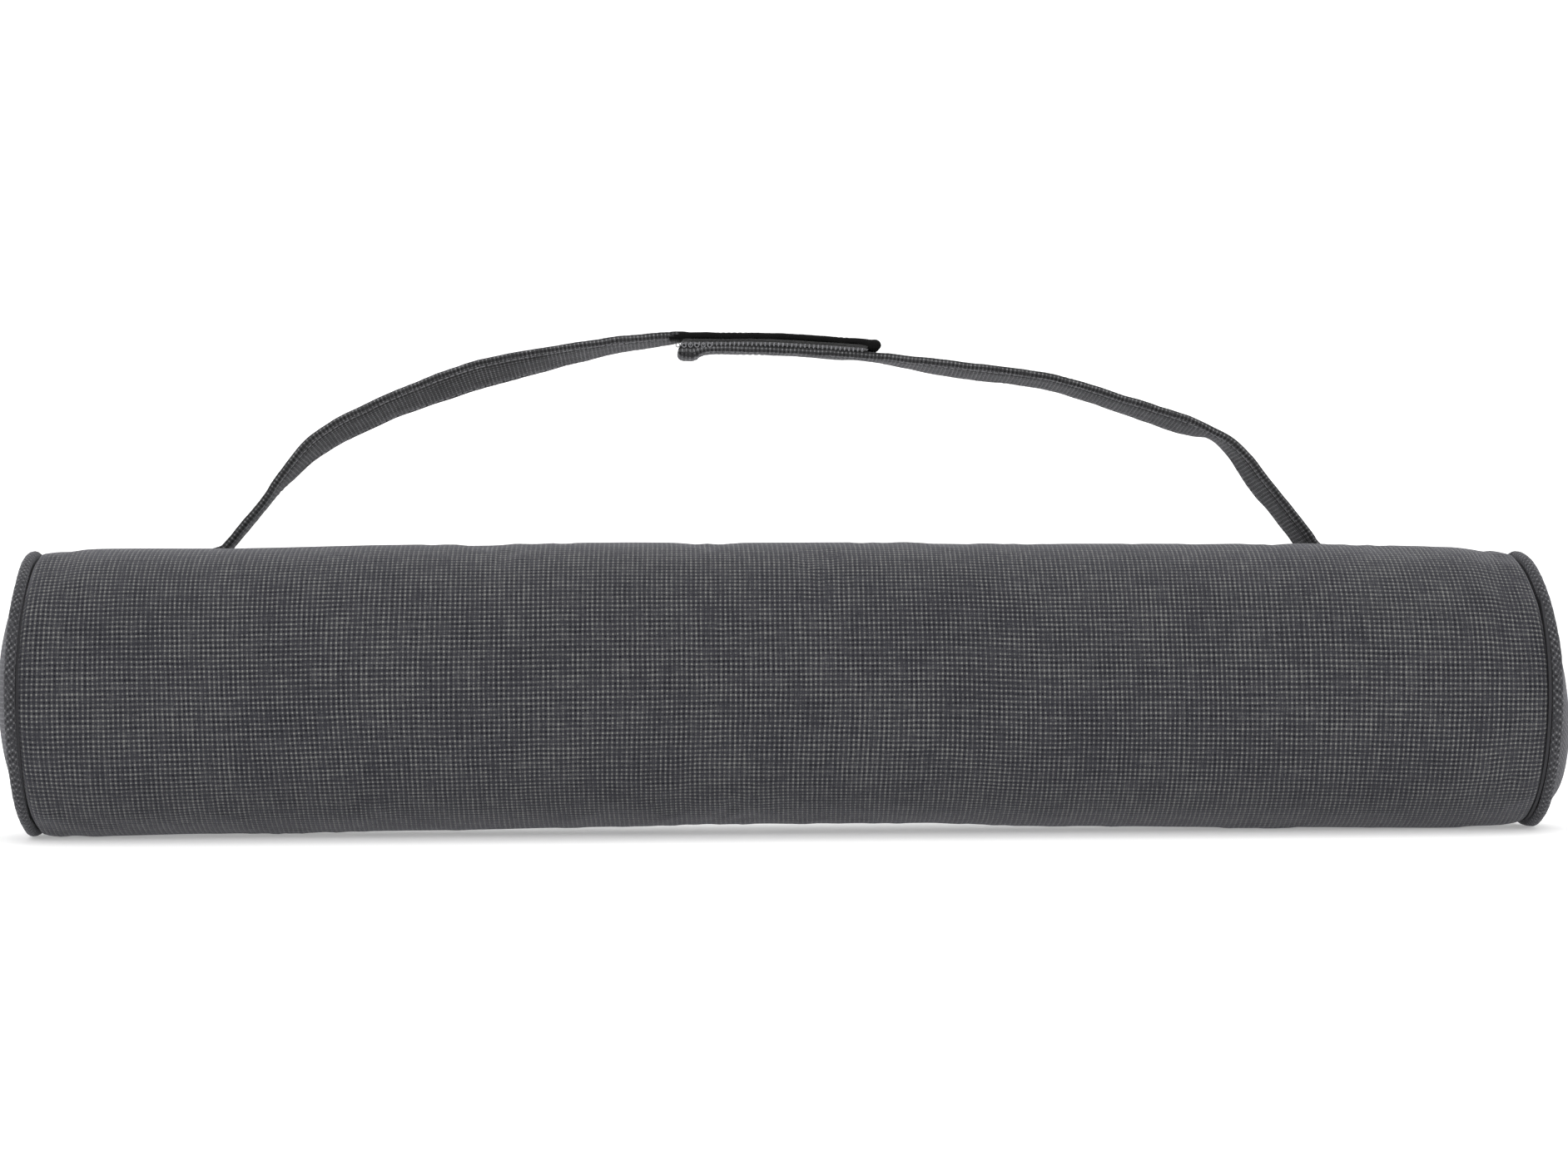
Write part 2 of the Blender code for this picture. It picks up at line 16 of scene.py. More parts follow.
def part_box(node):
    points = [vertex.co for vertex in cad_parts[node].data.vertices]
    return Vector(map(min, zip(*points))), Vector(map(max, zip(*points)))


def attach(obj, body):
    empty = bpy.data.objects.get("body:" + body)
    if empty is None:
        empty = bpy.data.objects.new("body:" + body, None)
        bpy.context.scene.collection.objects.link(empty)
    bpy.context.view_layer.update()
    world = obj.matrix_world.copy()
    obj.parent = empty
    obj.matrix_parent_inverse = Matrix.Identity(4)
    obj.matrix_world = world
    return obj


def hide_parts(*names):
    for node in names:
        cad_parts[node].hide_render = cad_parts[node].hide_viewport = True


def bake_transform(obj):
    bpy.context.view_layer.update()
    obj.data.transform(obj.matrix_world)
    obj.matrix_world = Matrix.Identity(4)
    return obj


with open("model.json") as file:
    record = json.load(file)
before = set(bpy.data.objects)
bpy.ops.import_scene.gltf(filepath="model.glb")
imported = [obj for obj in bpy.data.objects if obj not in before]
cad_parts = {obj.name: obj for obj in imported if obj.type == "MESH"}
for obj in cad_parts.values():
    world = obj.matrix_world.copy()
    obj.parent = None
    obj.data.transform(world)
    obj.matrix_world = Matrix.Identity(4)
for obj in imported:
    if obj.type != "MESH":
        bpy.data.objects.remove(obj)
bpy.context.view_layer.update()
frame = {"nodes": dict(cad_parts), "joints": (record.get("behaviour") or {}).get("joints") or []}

# ---------------------------------------------------------------- sizes, from the frame where it has them

MM = 0.001
joints = {joint["name"]: joint for joint in frame["joints"]}

panel_low, panel_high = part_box("outer_panel")
RADIUS = (panel_high.y - panel_low.y) / 2
CENTRE_Z = panel_high.z - RADIUS
HALF_LENGTH = panel_high.x

CLOTH = 1.2 * MM
PADDING = 5 * MM
LINING = 0.8 * MM
LAYER_GAP = 0.3 * MM
PADDING_DEPTH = CLOTH + LAYER_GAP
LINING_DEPTH = PADDING_DEPTH + PADDING + LAYER_GAP

UPPER_FOLD = Vector(joints["upper_lip_bend"]["pos_m"])
LOWER_FOLD = Vector(joints["lower_lip_bend"]["pos_m"])


def angle_of(point):
    return math.atan2(point.y, point.z - CENTRE_Z)


ZIP_ANGLE = (angle_of(UPPER_FOLD) + angle_of(LOWER_FOLD)) / 2
LIP_REACH = RADIUS * (angle_of(LOWER_FOLD) - angle_of(UPPER_FOLD)) / 2
MOUTH_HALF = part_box("upper_lip")[1].x
SLIT_HALF = 3.5 * MM
SLIT_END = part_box("zip_stop_right")[1].x
TAPE_HALF = 13.7 * MM
TAPE = 0.6 * MM

LEFT_ROOT = Vector(joints["left_half_lift"]["pos_m"])
RIGHT_ROOT = Vector(joints["right_half_lift"]["pos_m"])
CLOSURE_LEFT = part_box("hook_tongue")[0].x
CLOSURE_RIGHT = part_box("hook_tongue")[1].x
STRAP_WIDTH = 20 * MM
STRAP_THICKNESS = 3.2 * MM
STRAP_Y = LEFT_ROOT.y

# ---------------------------------------------------------------- tools for shaping


def deselect():
    bpy.ops.object.select_all(action="DESELECT")


def take_up(piece):
    """Makes the piece the one that operators act on."""
    deselect()
    piece.select_set(True)
    bpy.context.view_layer.objects.active = piece


def points_of(piece):
    flat = np.empty(len(piece.data.vertices) * 3)
    piece.data.vertices.foreach_get("co", flat)
    return flat.reshape(-1, 3)


def set_points(piece, points):
    piece.data.vertices.foreach_set("co", np.asarray(points, np.float32).ravel())
    piece.data.update()


def keep_cut(piece, cut):
    """Keeps each vertex's place in the flat cut as the UV map."""
    layer = piece.data.uv_layers.get("cut") or piece.data.uv_layers.new(name="cut")
    corners = np.empty(len(piece.data.loops), np.int32)
    piece.data.loops.foreach_get("vertex_index", corners)
    layer.uv.foreach_set("vector", np.asarray(cut[corners], np.float32).ravel())
    piece.data.uv_layers.active = layer


def cut_blank(name, start, end, pitch, trim=None):
    """A flat grid from start to end, one face per pitch; trim moves its points to the real outline."""
    deselect()
    columns, rows = [max(1, round((b - a) / p)) for a, b, p in zip(start, end, pitch)]
    bpy.ops.mesh.primitive_grid_add(x_subdivisions=columns, y_subdivisions=rows, size=1, calc_uvs=False)
    piece = bpy.context.object
    piece.name = name
    piece.data.name = name
    flat = points_of(piece)
    for k in range(2):
        flat[:, k] = start[k] + (flat[:, k] + 0.5) * (end[k] - start[k])
    if trim:
        flat[:, :2] = trim(flat[:, 0], flat[:, 1])
    set_points(piece, flat)
    keep_cut(piece, flat[:, :2])
    return piece


def lay(piece, shape):
    """Moves each point of a flat piece to shape(along, across)."""
    flat = points_of(piece)
    set_points(piece, shape(flat[:, 0], flat[:, 1]))


def with_modifier(piece, kind, **settings):
    take_up(piece)
    modifier = piece.modifiers.new(kind.lower(), kind)
    for name, value in settings.items():
        setattr(modifier, name, value)
    bpy.ops.object.modifier_apply(modifier=modifier.name)


def thicken(piece, thickness, edge=0.0):
    """Gives the cloth its thickness, inwards, and rounds its cut edges."""
    with_modifier(piece, "SOLIDIFY", thickness=thickness, offset=-1, use_even_offset=False)
    if edge:
        corner = math.radians(60)
        with_modifier(piece, "BEVEL", width=edge, segments=2, limit_method="ANGLE", angle_limit=corner)


def close_up(piece, distance=0.002 * MM):
    """Joins edges that meet and turns all faces out."""
    take_up(piece)
    bpy.ops.object.mode_set(mode="EDIT")
    bpy.ops.mesh.select_all(action="SELECT")
    bpy.ops.mesh.remove_doubles(threshold=distance)
    bpy.ops.mesh.normals_make_consistent(inside=False)
    bpy.ops.object.mode_set(mode="OBJECT")


def smooth(piece, angle=40):
    take_up(piece)
    bpy.ops.object.shade_smooth_by_angle(angle=math.radians(angle))


def dress(piece, material, slot):
    piece.data.materials.clear()
    piece.data.materials.append(material)


def eased(value):
    """0 below 0, 1 above 1, smooth between."""
    value = np.clip(value, 0, 1)
    return value * value * (3 - 2 * value)


def through(knots, x):
    """A soft line through (x, value) knots."""
    places, values = (np.array(column, float) for column in zip(*knots))
    x = np.clip(x, places[0], places[-1])
    i = np.clip(np.searchsorted(places, x, side="right") - 1, 0, len(places) - 2)
    share = eased((x - places[i]) / (places[i + 1] - places[i]))
    return values[i] + (values[i + 1] - values[i]) * share


def ripple(a, b, seed):
    """A gentle uneven wave over a surface, from -1 to 1; a and b in radians of its coarsest wave."""
    total = 0.0
    for k in range(1, 5):
        turn = seed * 1.7 + k * 2.4
        total = total + np.sin(k * (a * np.cos(turn) + b * np.sin(turn)) + seed * k * 3.1) / k
    return total / 2


# ---------------------------------------------------------------- the bag's surface

# By place along the bag, in metres: how much fuller than the frame's cylinder it is, and how far its
# middle line rises, both in millimetres.
FULLNESS = (
    (-0.313, -1.4), (-0.303, -1.3), (-0.284, -0.8), (-0.240, -1.2), (-0.150, -0.9),
    (-0.070, -1.1), (-0.030, -1.7), (0.060, -1.6), (0.110, -1.2), (0.210, -0.7),
    (0.267, -0.8), (0.282, -1.1), (0.302, -2.8), (0.313, -3.2),
)
LIFT = (
    (-0.313, 0.6), (-0.240, 1.1), (-0.150, 2.2), (-0.070, 3.0), (-0.030, 3.3),
    (0.060, 3.2), (0.110, 1.9), (0.210, 1.2), (0.282, 0.1), (0.313, -0.1),
)
# How far each end's seam is drawn towards the middle at its top and its bottom, against its sides.
SEAM_PULL = {-1: (1.9 * MM, 1.9 * MM), 1: (3.5 * MM, -0.8 * MM)}
SEAM_PULL_LENGTH = 30 * MM
SEAM_DRAW = 1.4 * MM  # how far the cover draws in on its way to the end seam
SEAM_DRAW_LENGTH = 10 * MM
SEAM_TUCK = 2.6 * MM  # and how far it turns down into the seam itself
SEAM_TUCK_LENGTH = 2.6 * MM
PUCKER = 0.35 * MM
PUCKER_LENGTH = 16 * MM
BASE_SOFTNESS = 0.6 * MM

swell_grid = None


def swell(x, angle):
    """The simulated cloth's own rise and fall over the filling."""
    if swell_grid is None:
        return 0.0
    rows, columns = swell_grid.shape
    across = (np.asarray(angle) / (2 * math.pi) + 0.5) * (columns - 1)
    along = (np.asarray(x) / (2 * HALF_LENGTH) + 0.5) * (rows - 1)
    i = np.clip(np.floor(along).astype(int), 0, rows - 2)
    j = np.clip(np.floor(across).astype(int), 0, columns - 2)
    u = np.clip(along - i, 0, 1)
    v = np.clip(across - j, 0, 1)
    near = swell_grid[i, j] * (1 - v) + swell_grid[i, j + 1] * v
    far = swell_grid[i + 1, j] * (1 - v) + swell_grid[i + 1, j + 1] * v
    return near * (1 - u) + far * u


def skin_radius(x, angle):
    to_seam = HALF_LENGTH - np.abs(x)
    draw = SEAM_DRAW * (1 - np.clip(to_seam / SEAM_DRAW_LENGTH, 0, 1)) ** 2
    tuck = 1 - np.clip(to_seam / SEAM_TUCK_LENGTH, 0, 1)
    turned = SEAM_TUCK * (1 - np.sqrt(1 - tuck**2 * 0.98))
    near_seam = (1 - np.clip(to_seam / PUCKER_LENGTH, 0, 1)) ** 1.5
    puckers = PUCKER * near_seam * ripple(9 * np.asarray(angle), x * 40, 2 + np.sign(x))
    return RADIUS + through(FULLNESS, x) * MM + swell(x, angle) + puckers - draw - turned


def seam_pull(side, angle):
    top, bottom = SEAM_PULL[side]
    upright = np.cos(angle)
    return upright**2 * np.where(upright > 0, top, bottom)


def skin(x, angle, depth=0.0):
    """The point of the bag's wall at that place along and round it, depth under its outer face."""
    x = np.asarray(x, float)
    angle = np.asarray(angle, float)
    radius = skin_radius(x, angle) - depth
    z = CENTRE_Z + through(LIFT, x) * MM + radius * np.cos(angle)
    above = z - (depth - BASE_SOFTNESS / 2)
    z = z + (np.sqrt(above**2 + BASE_SOFTNESS**2) - above) / 2
    near_end = np.clip(1 - (HALF_LENGTH - np.abs(x)) / SEAM_PULL_LENGTH, 0, 1) ** 2
    pull = np.where(x < 0, -seam_pull(-1, angle), seam_pull(1, angle)) * near_end
    return np.stack([x - pull + 0 * z, radius * np.sin(angle), z], -1)


def stuff_cover():
    """A tube of the cover's cloth, a little long for its seams, sewn fast at both ends and along the zip
    and blown out from inside. What it keeps is how far each spot rises or sinks."""
    global swell_grid
    pitch = 5 * MM
    rows = round(2 * HALF_LENGTH / pitch)
    columns = round(2 * math.pi * RADIUS / pitch)
    steps = (2 * HALF_LENGTH / rows, 2 * math.pi / columns)
    form = cut_blank("cover_form", (-HALF_LENGTH, -math.pi), (HALF_LENGTH, math.pi), steps)
    flat = points_of(form)
    start = np.stack([flat[:, 0], RADIUS * np.sin(flat[:, 1]), RADIUS * np.cos(flat[:, 1])], -1)
    start *= (1 + 0.0008 * ripple(9 * flat[:, 1], 50 * flat[:, 0], 5))[:, None] ** np.array([0, 1, 1])
    set_points(form, start)
    pins = form.vertex_groups.new(name="sewn")
    round_from_zip = np.abs(flat[:, 1] - ZIP_ANGLE) * RADIUS
    sewn = (np.abs(flat[:, 0]) > HALF_LENGTH - pitch / 2) | (round_from_zip < pitch)
    sewn |= np.abs(flat[:, 1]) > math.pi - 0.5 * pitch / RADIUS
    pins.add([int(i) for i in np.flatnonzero(sewn)], 1.0, "REPLACE")
    cloth = form.modifiers.new("cloth", "CLOTH").settings
    cloth.quality = 4
    cloth.mass = 0.3
    cloth.tension_stiffness = 20
    cloth.compression_stiffness = 20
    cloth.shear_stiffness = 8
    cloth.bending_stiffness = 0.3
    cloth.vertex_group_mass = "sewn"
    cloth.use_pressure = True
    cloth.uniform_pressure_force = 4
    cloth.shrink_min = -0.012
    cloth.effector_weights.gravity = 0
    scene = bpy.context.scene
    for step in range(1, 21):
        scene.frame_set(step)
    blown = form.evaluated_get(bpy.context.evaluated_depsgraph_get()).to_mesh()
    end = np.empty(len(blown.vertices) * 3)
    blown.vertices.foreach_get("co", end)
    end = end.reshape(-1, 3)
    rise = np.hypot(end[:, 1], end[:, 2]) - RADIUS
    order = np.lexsort((flat[:, 1], flat[:, 0].round(6)))
    grid = rise[order].reshape(rows + 1, columns + 1)
    grid[:, 0] = grid[:, -1] = (grid[:, 1] + grid[:, -2]) / 2
    most = 0.35 * MM
    swell_grid = np.clip(grid - np.median(grid, axis=1, keepdims=True), -most, most)
    scene.frame_set(1)
    bpy.data.objects.remove(form, do_unlink=True)


# ---------------------------------------------------------------- how far each point would follow its lip

LIP_BEND = 7 * MM  # each side of the fold line
MOUTH_TAPER = 85 * MM  # the corner of the mouth, from shut to wide open


def mouth_share(points):
    """How far each point follows its lip: 0 on the wall and at the mouth's corners, 1 at a lip's middle."""
    radius_angle = np.arctan2(points[:, 1], points[:, 2] - CENTRE_Z)
    from_zip = np.abs(radius_angle - ZIP_ANGLE) * RADIUS
    over_fold = eased((LIP_REACH + LIP_BEND - from_zip) / (2 * LIP_BEND))
    along = np.clip((MOUTH_HALF - 2 * MM - np.abs(points[:, 0])) / MOUTH_TAPER, 0, 1)
    return over_fold * np.sin(along * math.pi / 2) ** 1.5


def open_with(piece):
    """Bakes the piece's transform and works out each point's mouth_share, which is not stored."""
    skin(0, ZIP_ANGLE)
    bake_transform(piece)
    shares = mouth_share(points_of(piece)).astype(np.float32)


# ---------------------------------------------------------------- materials


def tone(code):
    """An sRGB hex colour as a linear one."""
    parts = [int(code[k : k + 2], 16) / 255 for k in (0, 2, 4)]
    return tuple(p / 12.92 if p <= 0.04045 else ((p + 0.055) / 1.055) ** 2.4 for p in parts) + (1.0,)


def new_material(name, roughness, **sockets):
    material = bpy.data.materials.new(name)
    material.use_nodes = True
    shader = material.node_tree.nodes["Principled BSDF"]
    shader.inputs["Roughness"].default_value = roughness
    for socket, value in sockets.items():
        shader.inputs[socket.replace("_", " ")].default_value = value
    return material, shader


def add(material, kind, inputs=None, **settings):
    """Adds a node with its settings; an input is a value or another node's output."""
    node = material.node_tree.nodes.new("ShaderNode" + kind)
    for name, value in settings.items():
        setattr(node, name, value)
    for key, value in (inputs or {}).items():
        if isinstance(value, bpy.types.NodeSocket):
            material.node_tree.links.new(value, node.inputs[key])
        else:
            node.inputs[key].default_value = value
    return node


def sums(material, operation, first, second=0.0):
    return add(material, "Math", {0: first, 1: second}, operation=operation).outputs[0]


def plus(material, first, second):
    return sums(material, "ADD", first, second)

def less(material, first, second):
    return sums(material, "SUBTRACT", first, second)

def times(material, first, second):
    return sums(material, "MULTIPLY", first, second)

def colours(material, factor, *stops):
    """Blends sRGB hex colours by the factor; a stop is (place, colour)."""
    ramp = add(material, "ValToRGB", {0: factor})
    for spare in list(ramp.color_ramp.elements)[1:]:
        ramp.color_ramp.elements.remove(spare)
    for k, (place, code) in enumerate(stops):
        stop = ramp.color_ramp.elements[0] if k == 0 else ramp.color_ramp.elements.new(place)
        stop.position = place
        stop.color = tone(code)
    return ramp.outputs["Color"]


def paint(material, shader, factor, *stops):
    material.node_tree.links.new(colours(material, factor, *stops), shader.inputs["Base Color"])

def relief(material, shader, height, depth, strength=1.0):
    bump = add(material, "Bump", {"Height": height, "Distance": depth, "Strength": strength})
    material.node_tree.links.new(bump.outputs["Normal"], shader.inputs["Normal"])


def cut_place(material):
    """The place in the flat cut, in metres: its vector, and its distances along and across."""
    vector = add(material, "UVMap", uv_map="cut").outputs["UV"]
    parts = add(material, "SeparateXYZ", {0: vector})
    return vector, parts.outputs["X"], parts.outputs["Y"]


def threads(material, distance, pitch):
    """A wave of that pitch: 1 on a thread's middle, -1 between threads."""
    return sums(material, "COSINE", times(material, distance, 2 * math.pi / pitch))


def clouding(material, vector, size, stretch=(1, 1), detail=2.0, roughness=0.5):
    """Noise whose blotches are about that size, in metres, and drawn out by stretch."""
    scaled = add(material, "Mapping", {"Vector": vector, "Scale": (1 / stretch[0], 1 / stretch[1], 1)})
    links = {"Vector": scaled.outputs[0], "Scale": 1 / size, "Detail": detail, "Roughness": roughness}
    return add(material, "TexNoise", links, noise_dimensions="2D").outputs[0]


def mottle(material, place, size, detail):
    """Noise through the solid, whose blotches are about that size, in metres."""
    return add(material, "TexNoise", {"Vector": place, "Scale": 1 / size, "Detail": detail}).outputs[0]

def plain_weave(material, along, across, pitch):
    """A plain weave whose warp is a pale and a dark yarn in turn and whose weft is mid grey. Gives its
    tone, from -1 on a dark float to 1 on a pale one, its relief, and 1 where the warp lies on top."""
    warp = threads(material, along, pitch[0])
    weft = threads(material, across, pitch[1])
    both = times(material, warp, weft)
    pale = times(material, sums(material, "MAXIMUM", warp), sums(material, "MAXIMUM", weft))
    dark = times(material, sums(material, "MINIMUM", warp), sums(material, "MINIMUM", weft))
    tone_of = less(material, sums(material, "POWER", pale, 0.7), sums(material, "POWER", dark, 0.7))
    raised = sums(material, "POWER", sums(material, "ABSOLUTE", both), 0.5)
    on_top = sums(material, "MULTIPLY_ADD", both, 4.0)
    on_top.node.inputs[2].default_value = 0.5
    on_top.node.use_clamp = True
    return tone_of, raised, on_top


def woven_cloth(name, pitch, dark, middle, light, contrast=1.0, sheen=0.45):
    """Coarse solution-dyed polyester canvas in a plain weave of greys: pale flecks where the lighter yarn
    floats, dark flecks where the darker yarn floats, painted shade in the pits between the floats, and a
    dry matt face whose fuzz catches light at a glancing angle."""
    material, shader = new_material(name, 0.95, Sheen_Weight=sheen, Sheen_Roughness=0.35)
    shader.inputs["Specular IOR Level"].default_value = 0.2
    shader.inputs["Sheen Tint"].default_value = tone("B4B4BA")
    vector, along, across = cut_place(material)
    wander = clouding(material, vector, 7 * MM, detail=3)
    drift = times(material, less(material, wander, 0.5), 0.45 * MM)
    skew = clouding(material, vector, 160 * MM, detail=1)
    slant = plus(material, drift, times(material, less(material, skew, 0.5), 8 * MM))
    placed_along = plus(material, along, slant)
    placed_across = less(material, across, drift)
    flecks, raised, on_top = plain_weave(material, placed_along, placed_across, pitch)
    blotches = clouding(material, vector, 6 * MM, detail=3, roughness=0.65)
    limits = {"From Min": 0.3, "From Max": 0.62, "To Min": 0.28, "To Max": 1.05}
    strength = add(material, "MapRange", {"Value": blotches, **limits})
    speckle = plus(material, clouding(material, vector, 1.3 * MM, detail=2, roughness=0.7), 0.42)
    strength = times(material, strength.outputs[0], speckle)
    flecks = times(material, flecks, times(material, strength, 0.62 * contrast))
    slub_warp = clouding(material, vector, 1.1 * MM, stretch=(1, 18), detail=1)
    slub_weft = clouding(material, vector, 1.1 * MM, stretch=(18, 1), detail=1)
    slubs = less(material, plus(material, slub_warp, slub_weft), 1.0)
    fibre_warp = clouding(material, vector, 0.16 * MM, stretch=(1, 9), detail=2)
    fibre_weft = clouding(material, vector, 0.16 * MM, stretch=(9, 1), detail=2)
    fibre = add(material, "Mix", {0: on_top, 2: fibre_weft, 3: fibre_warp}).outputs[0]
    fibre = less(material, fibre, 0.5)
    broad = less(material, clouding(material, vector, 45 * MM, detail=2), 0.5)
    shade = plus(material, flecks, times(material, slubs, 0.24 * contrast))
    shade = plus(material, shade, times(material, fibre, 0.5 * contrast))
    shade = plus(material, shade, times(material, broad, 0.12))
    # Painted shade: the colour darkens where the floats sink, in the pits between them.
    shade = plus(material, shade, times(material, less(material, raised, 0.6), 0.16))
    shade = plus(material, shade, 0.5)
    paint(material, shader, shade, (0.0, dark), (0.5, middle), (1.0, light))
    height = plus(material, raised, times(material, fibre, 0.5))
    relief(material, shader, height, 0.22 * MM, 0.6)
    return material


def narrow_tape(name, dark, light, rib, roughness=0.75, gloss=0.4):
    """Woven nylon narrow tape: fine ribs across it, and streaks along it where the yarn's lustre varies."""
    material, shader = new_material(name, roughness)
    shader.inputs["Specular IOR Level"].default_value = gloss
    vector, along, across = cut_place(material)
    ribs = threads(material, along, rib)
    streaks = clouding(material, vector, 0.7 * MM, stretch=(30, 1), detail=3, roughness=0.6)
    blotches = clouding(material, vector, 6 * MM)
    shade = plus(material, times(material, streaks, 0.8), times(material, ribs, 0.08))
    shade = plus(material, shade, times(material, less(material, blotches, 0.5), 0.3))
    paint(material, shader, shade, (0.15, dark), (0.75, light))
    relief(material, shader, plus(material, ribs, times(material, streaks, 2.0)), 0.12 * MM, 0.8)
    return material


def pile_tape(name, dark, light, size):
    """Hook-and-loop tape: a dense mat of nylon hooks or loops, so a rough speckled face with soft light."""
    material, shader = new_material(name, 0.9, Sheen_Weight=0.25)
    vector = cut_place(material)[0]
    cells = add(material, "TexVoronoi", {"Vector": vector, "Scale": 1 / size}, feature="F1")
    tufts = clouding(material, vector, size, detail=3)
    shade = plus(material, times(material, cells.outputs["Distance"], 0.7), times(material, tufts, 0.5))
    paint(material, shader, shade, (0.2, dark), (0.9, light))
    relief(material, shader, shade, 0.35 * MM, 1.0)
    return material


def closed_foam(name, dark, light):
    """Cross-linked polyethylene foam, skived from a block: an even matt face with fine pores."""
    material, shader = new_material(name, 0.85)
    place = add(material, "TexCoord").outputs["Object"]
    pores = add(material, "TexVoronoi", {"Vector": place, "Scale": 1 / (1.1 * MM)}).outputs["Distance"]
    patches = mottle(material, place, 30 * MM, 3.0)
    shade = plus(material, times(material, pores, 0.5), times(material, patches, 0.5))
    paint(material, shader, shade, (0.2, dark), (0.8, light))
    relief(material, shader, pores, 0.2 * MM, 0.6)
    return material


def coated_lining(name, dark, light):
    """Urethane-coated nylon taffeta: a fine plain weave under a thin film, so a faint gloss and creases."""
    material, shader = new_material(name, 0.48)
    vector, along, across = cut_place(material)
    weave = times(material, threads(material, along, 0.9 * MM), threads(material, across, 0.9 * MM))
    creases = clouding(material, vector, 22 * MM, stretch=(2, 1), detail=5, roughness=0.6)
    # Painted shade: the colour darkens in the creases' hollows, from the same noise that raises them.
    shade = plus(material, creases, times(material, weave, 0.08))
    paint(material, shader, shade, (0.25, dark), (0.75, light))
    relief(material, shader, plus(material, times(material, creases, 6.0), weave), 0.12 * MM, 0.7)
    return material


def moulded_coil(name):
    """Polyester monofilament, drawn and set in a coil: hard, smooth and slightly glossy black."""
    material, shader = new_material(name, 0.34)
    place = add(material, "TexCoord").outputs["Object"]
    rubbed = mottle(material, place, 6 * MM, 4.0)
    paint(material, shader, rubbed, (0.3, "232327"), (0.8, "3A3A40"))
    relief(material, shader, rubbed, 0.05 * MM, 0.4)
    return material


def enamelled_zinc(name):
    """Die-cast zinc under baked black enamel: smooth and semi-gloss, with worn brighter high spots."""
    material, shader = new_material(name, 0.32, Coat_Weight=0.25, Coat_Roughness=0.2)
    place = add(material, "TexCoord").outputs["Object"]
    wear = mottle(material, place, 2.5 * MM, 6.0)
    paint(material, shader, wear, (0.35, "161618"), (0.66, "222225"), (0.74, "4A4A4D"))
    orange_peel = mottle(material, place, 0.5 * MM, 2.0)
    relief(material, shader, orange_peel, 0.03 * MM, 0.4)
    return material


def spun_thread(name, dark, light):
    """Bonded polyester sewing thread: twisted yarn with a slight lustre."""
    material, shader = new_material(name, 0.6, Sheen_Weight=0.2)
    place = add(material, "TexCoord").outputs["Object"]
    twist = mottle(material, place, 0.4 * MM, 2.0)
    paint(material, shader, twist, (0.3, dark), (0.7, light))
    relief(material, shader, twist, 0.08 * MM, 0.6)
    return material


WEAVE = (2.0 * MM, 2.2 * MM)  # from one pale fleck to the next, along the bag and round it
STRAP_WEAVE = (1.7 * MM, 1.5 * MM)
canvas = woven_cloth("two_tone_canvas", WEAVE, "101016", "37373C", "80807D", sheen=0.7)
end_canvas = woven_cloth("end_canvas", WEAVE, "19191A", "3E3E41", "7A7A7C", contrast=0.85, sheen=0.55)
strap_canvas = woven_cloth("strap_canvas", STRAP_WEAVE, "131314", "373738", "7C7C7E", sheen=0.4)
black_tape = narrow_tape("hook_tape_back", "020202", "0C0C0C", 0.9 * MM, gloss=0.15)
zip_tape = narrow_tape("zip_tape_weave", "212124", "38383C", 0.8 * MM)
binding_tape = narrow_tape("binding_weave", "1D1D1F", "343438", 1.4 * MM)
hook_mat = pile_tape("hook_mat", "121212", "343434", 0.8 * MM)
loop_mat = pile_tape("loop_mat", "2A2A2B", "6A6A6C", 1.0 * MM)
foam = closed_foam("skived_foam", "5C5C60", "7C7C80")
lining_cloth = coated_lining("coated_taffeta", "2A2A2E", "404046")
coil_plastic = moulded_coil("drawn_coil")
zip_enamel = enamelled_zinc("black_enamel")
grey_thread = spun_thread("grey_thread", "5E5E60", "8E8E92")
pale_thread = spun_thread("pale_thread", "5A5A5C", "8E8E92")
black_thread = spun_thread("black_thread", "1C1C1D", "333336")

# ---------------------------------------------------------------- stitches


def stitch_shape(size):
    """One stitch, lying along X: a few-sided bead of thread."""
    deselect()
    bpy.ops.mesh.primitive_uv_sphere_add(segments=8, ring_count=6, radius=0.5, rotation=(0, math.pi / 2, 0))
    bead = bpy.context.object
    bpy.ops.object.transform_apply(location=False, rotation=True, scale=False)
    set_points(bead, points_of(bead) * np.array(size))
    return bead


def repeat(name, model, places, alongs, outs):
    """Copies of the model as one piece, each at its place, turned to its along and out directions."""
    along = np.asarray(alongs, float)
    along = along / np.linalg.norm(along, axis=1, keepdims=True)
    out = np.asarray(outs, float)
    side = np.cross(out, along)
    side = side / np.linalg.norm(side, axis=1, keepdims=True)
    out = np.cross(along, side)
    shape = points_of(model)
    turned = shape[None, :, 0, None] * along[:, None] + shape[None, :, 1, None] * side[:, None]
    turned = turned + shape[None, :, 2, None] * out[:, None] + np.asarray(places, float)[:, None]
    with_modifier(model, "ARRAY", count=len(along), use_merge_vertices=False)
    set_points(model, turned.reshape(-1, 3))
    model.name = name
    model.data.name = name
    smooth(model, 80)
    return model


def sewn(name, size, rows):
    """Stitches of one size; a row is its places, along directions and out directions."""
    places, alongs, outs = (np.concatenate(part) for part in zip(*rows))
    return repeat(name, stitch_shape(size), places, alongs, outs)

def spaced(start, end, pitch):
    count = max(2, round(abs(end - start) / pitch))
    return start + (end - start) * (np.arange(count) + 0.5) / count


# ---------------------------------------------------------------- cover, padding and lining

COVER_PITCH = 2.4 * MM
INNER_PITCH = 4 * MM
SEAM_GAP = 0.1 * MM
SLIT_CORNER = 5 * MM
BOTTOM = math.pi * RADIUS


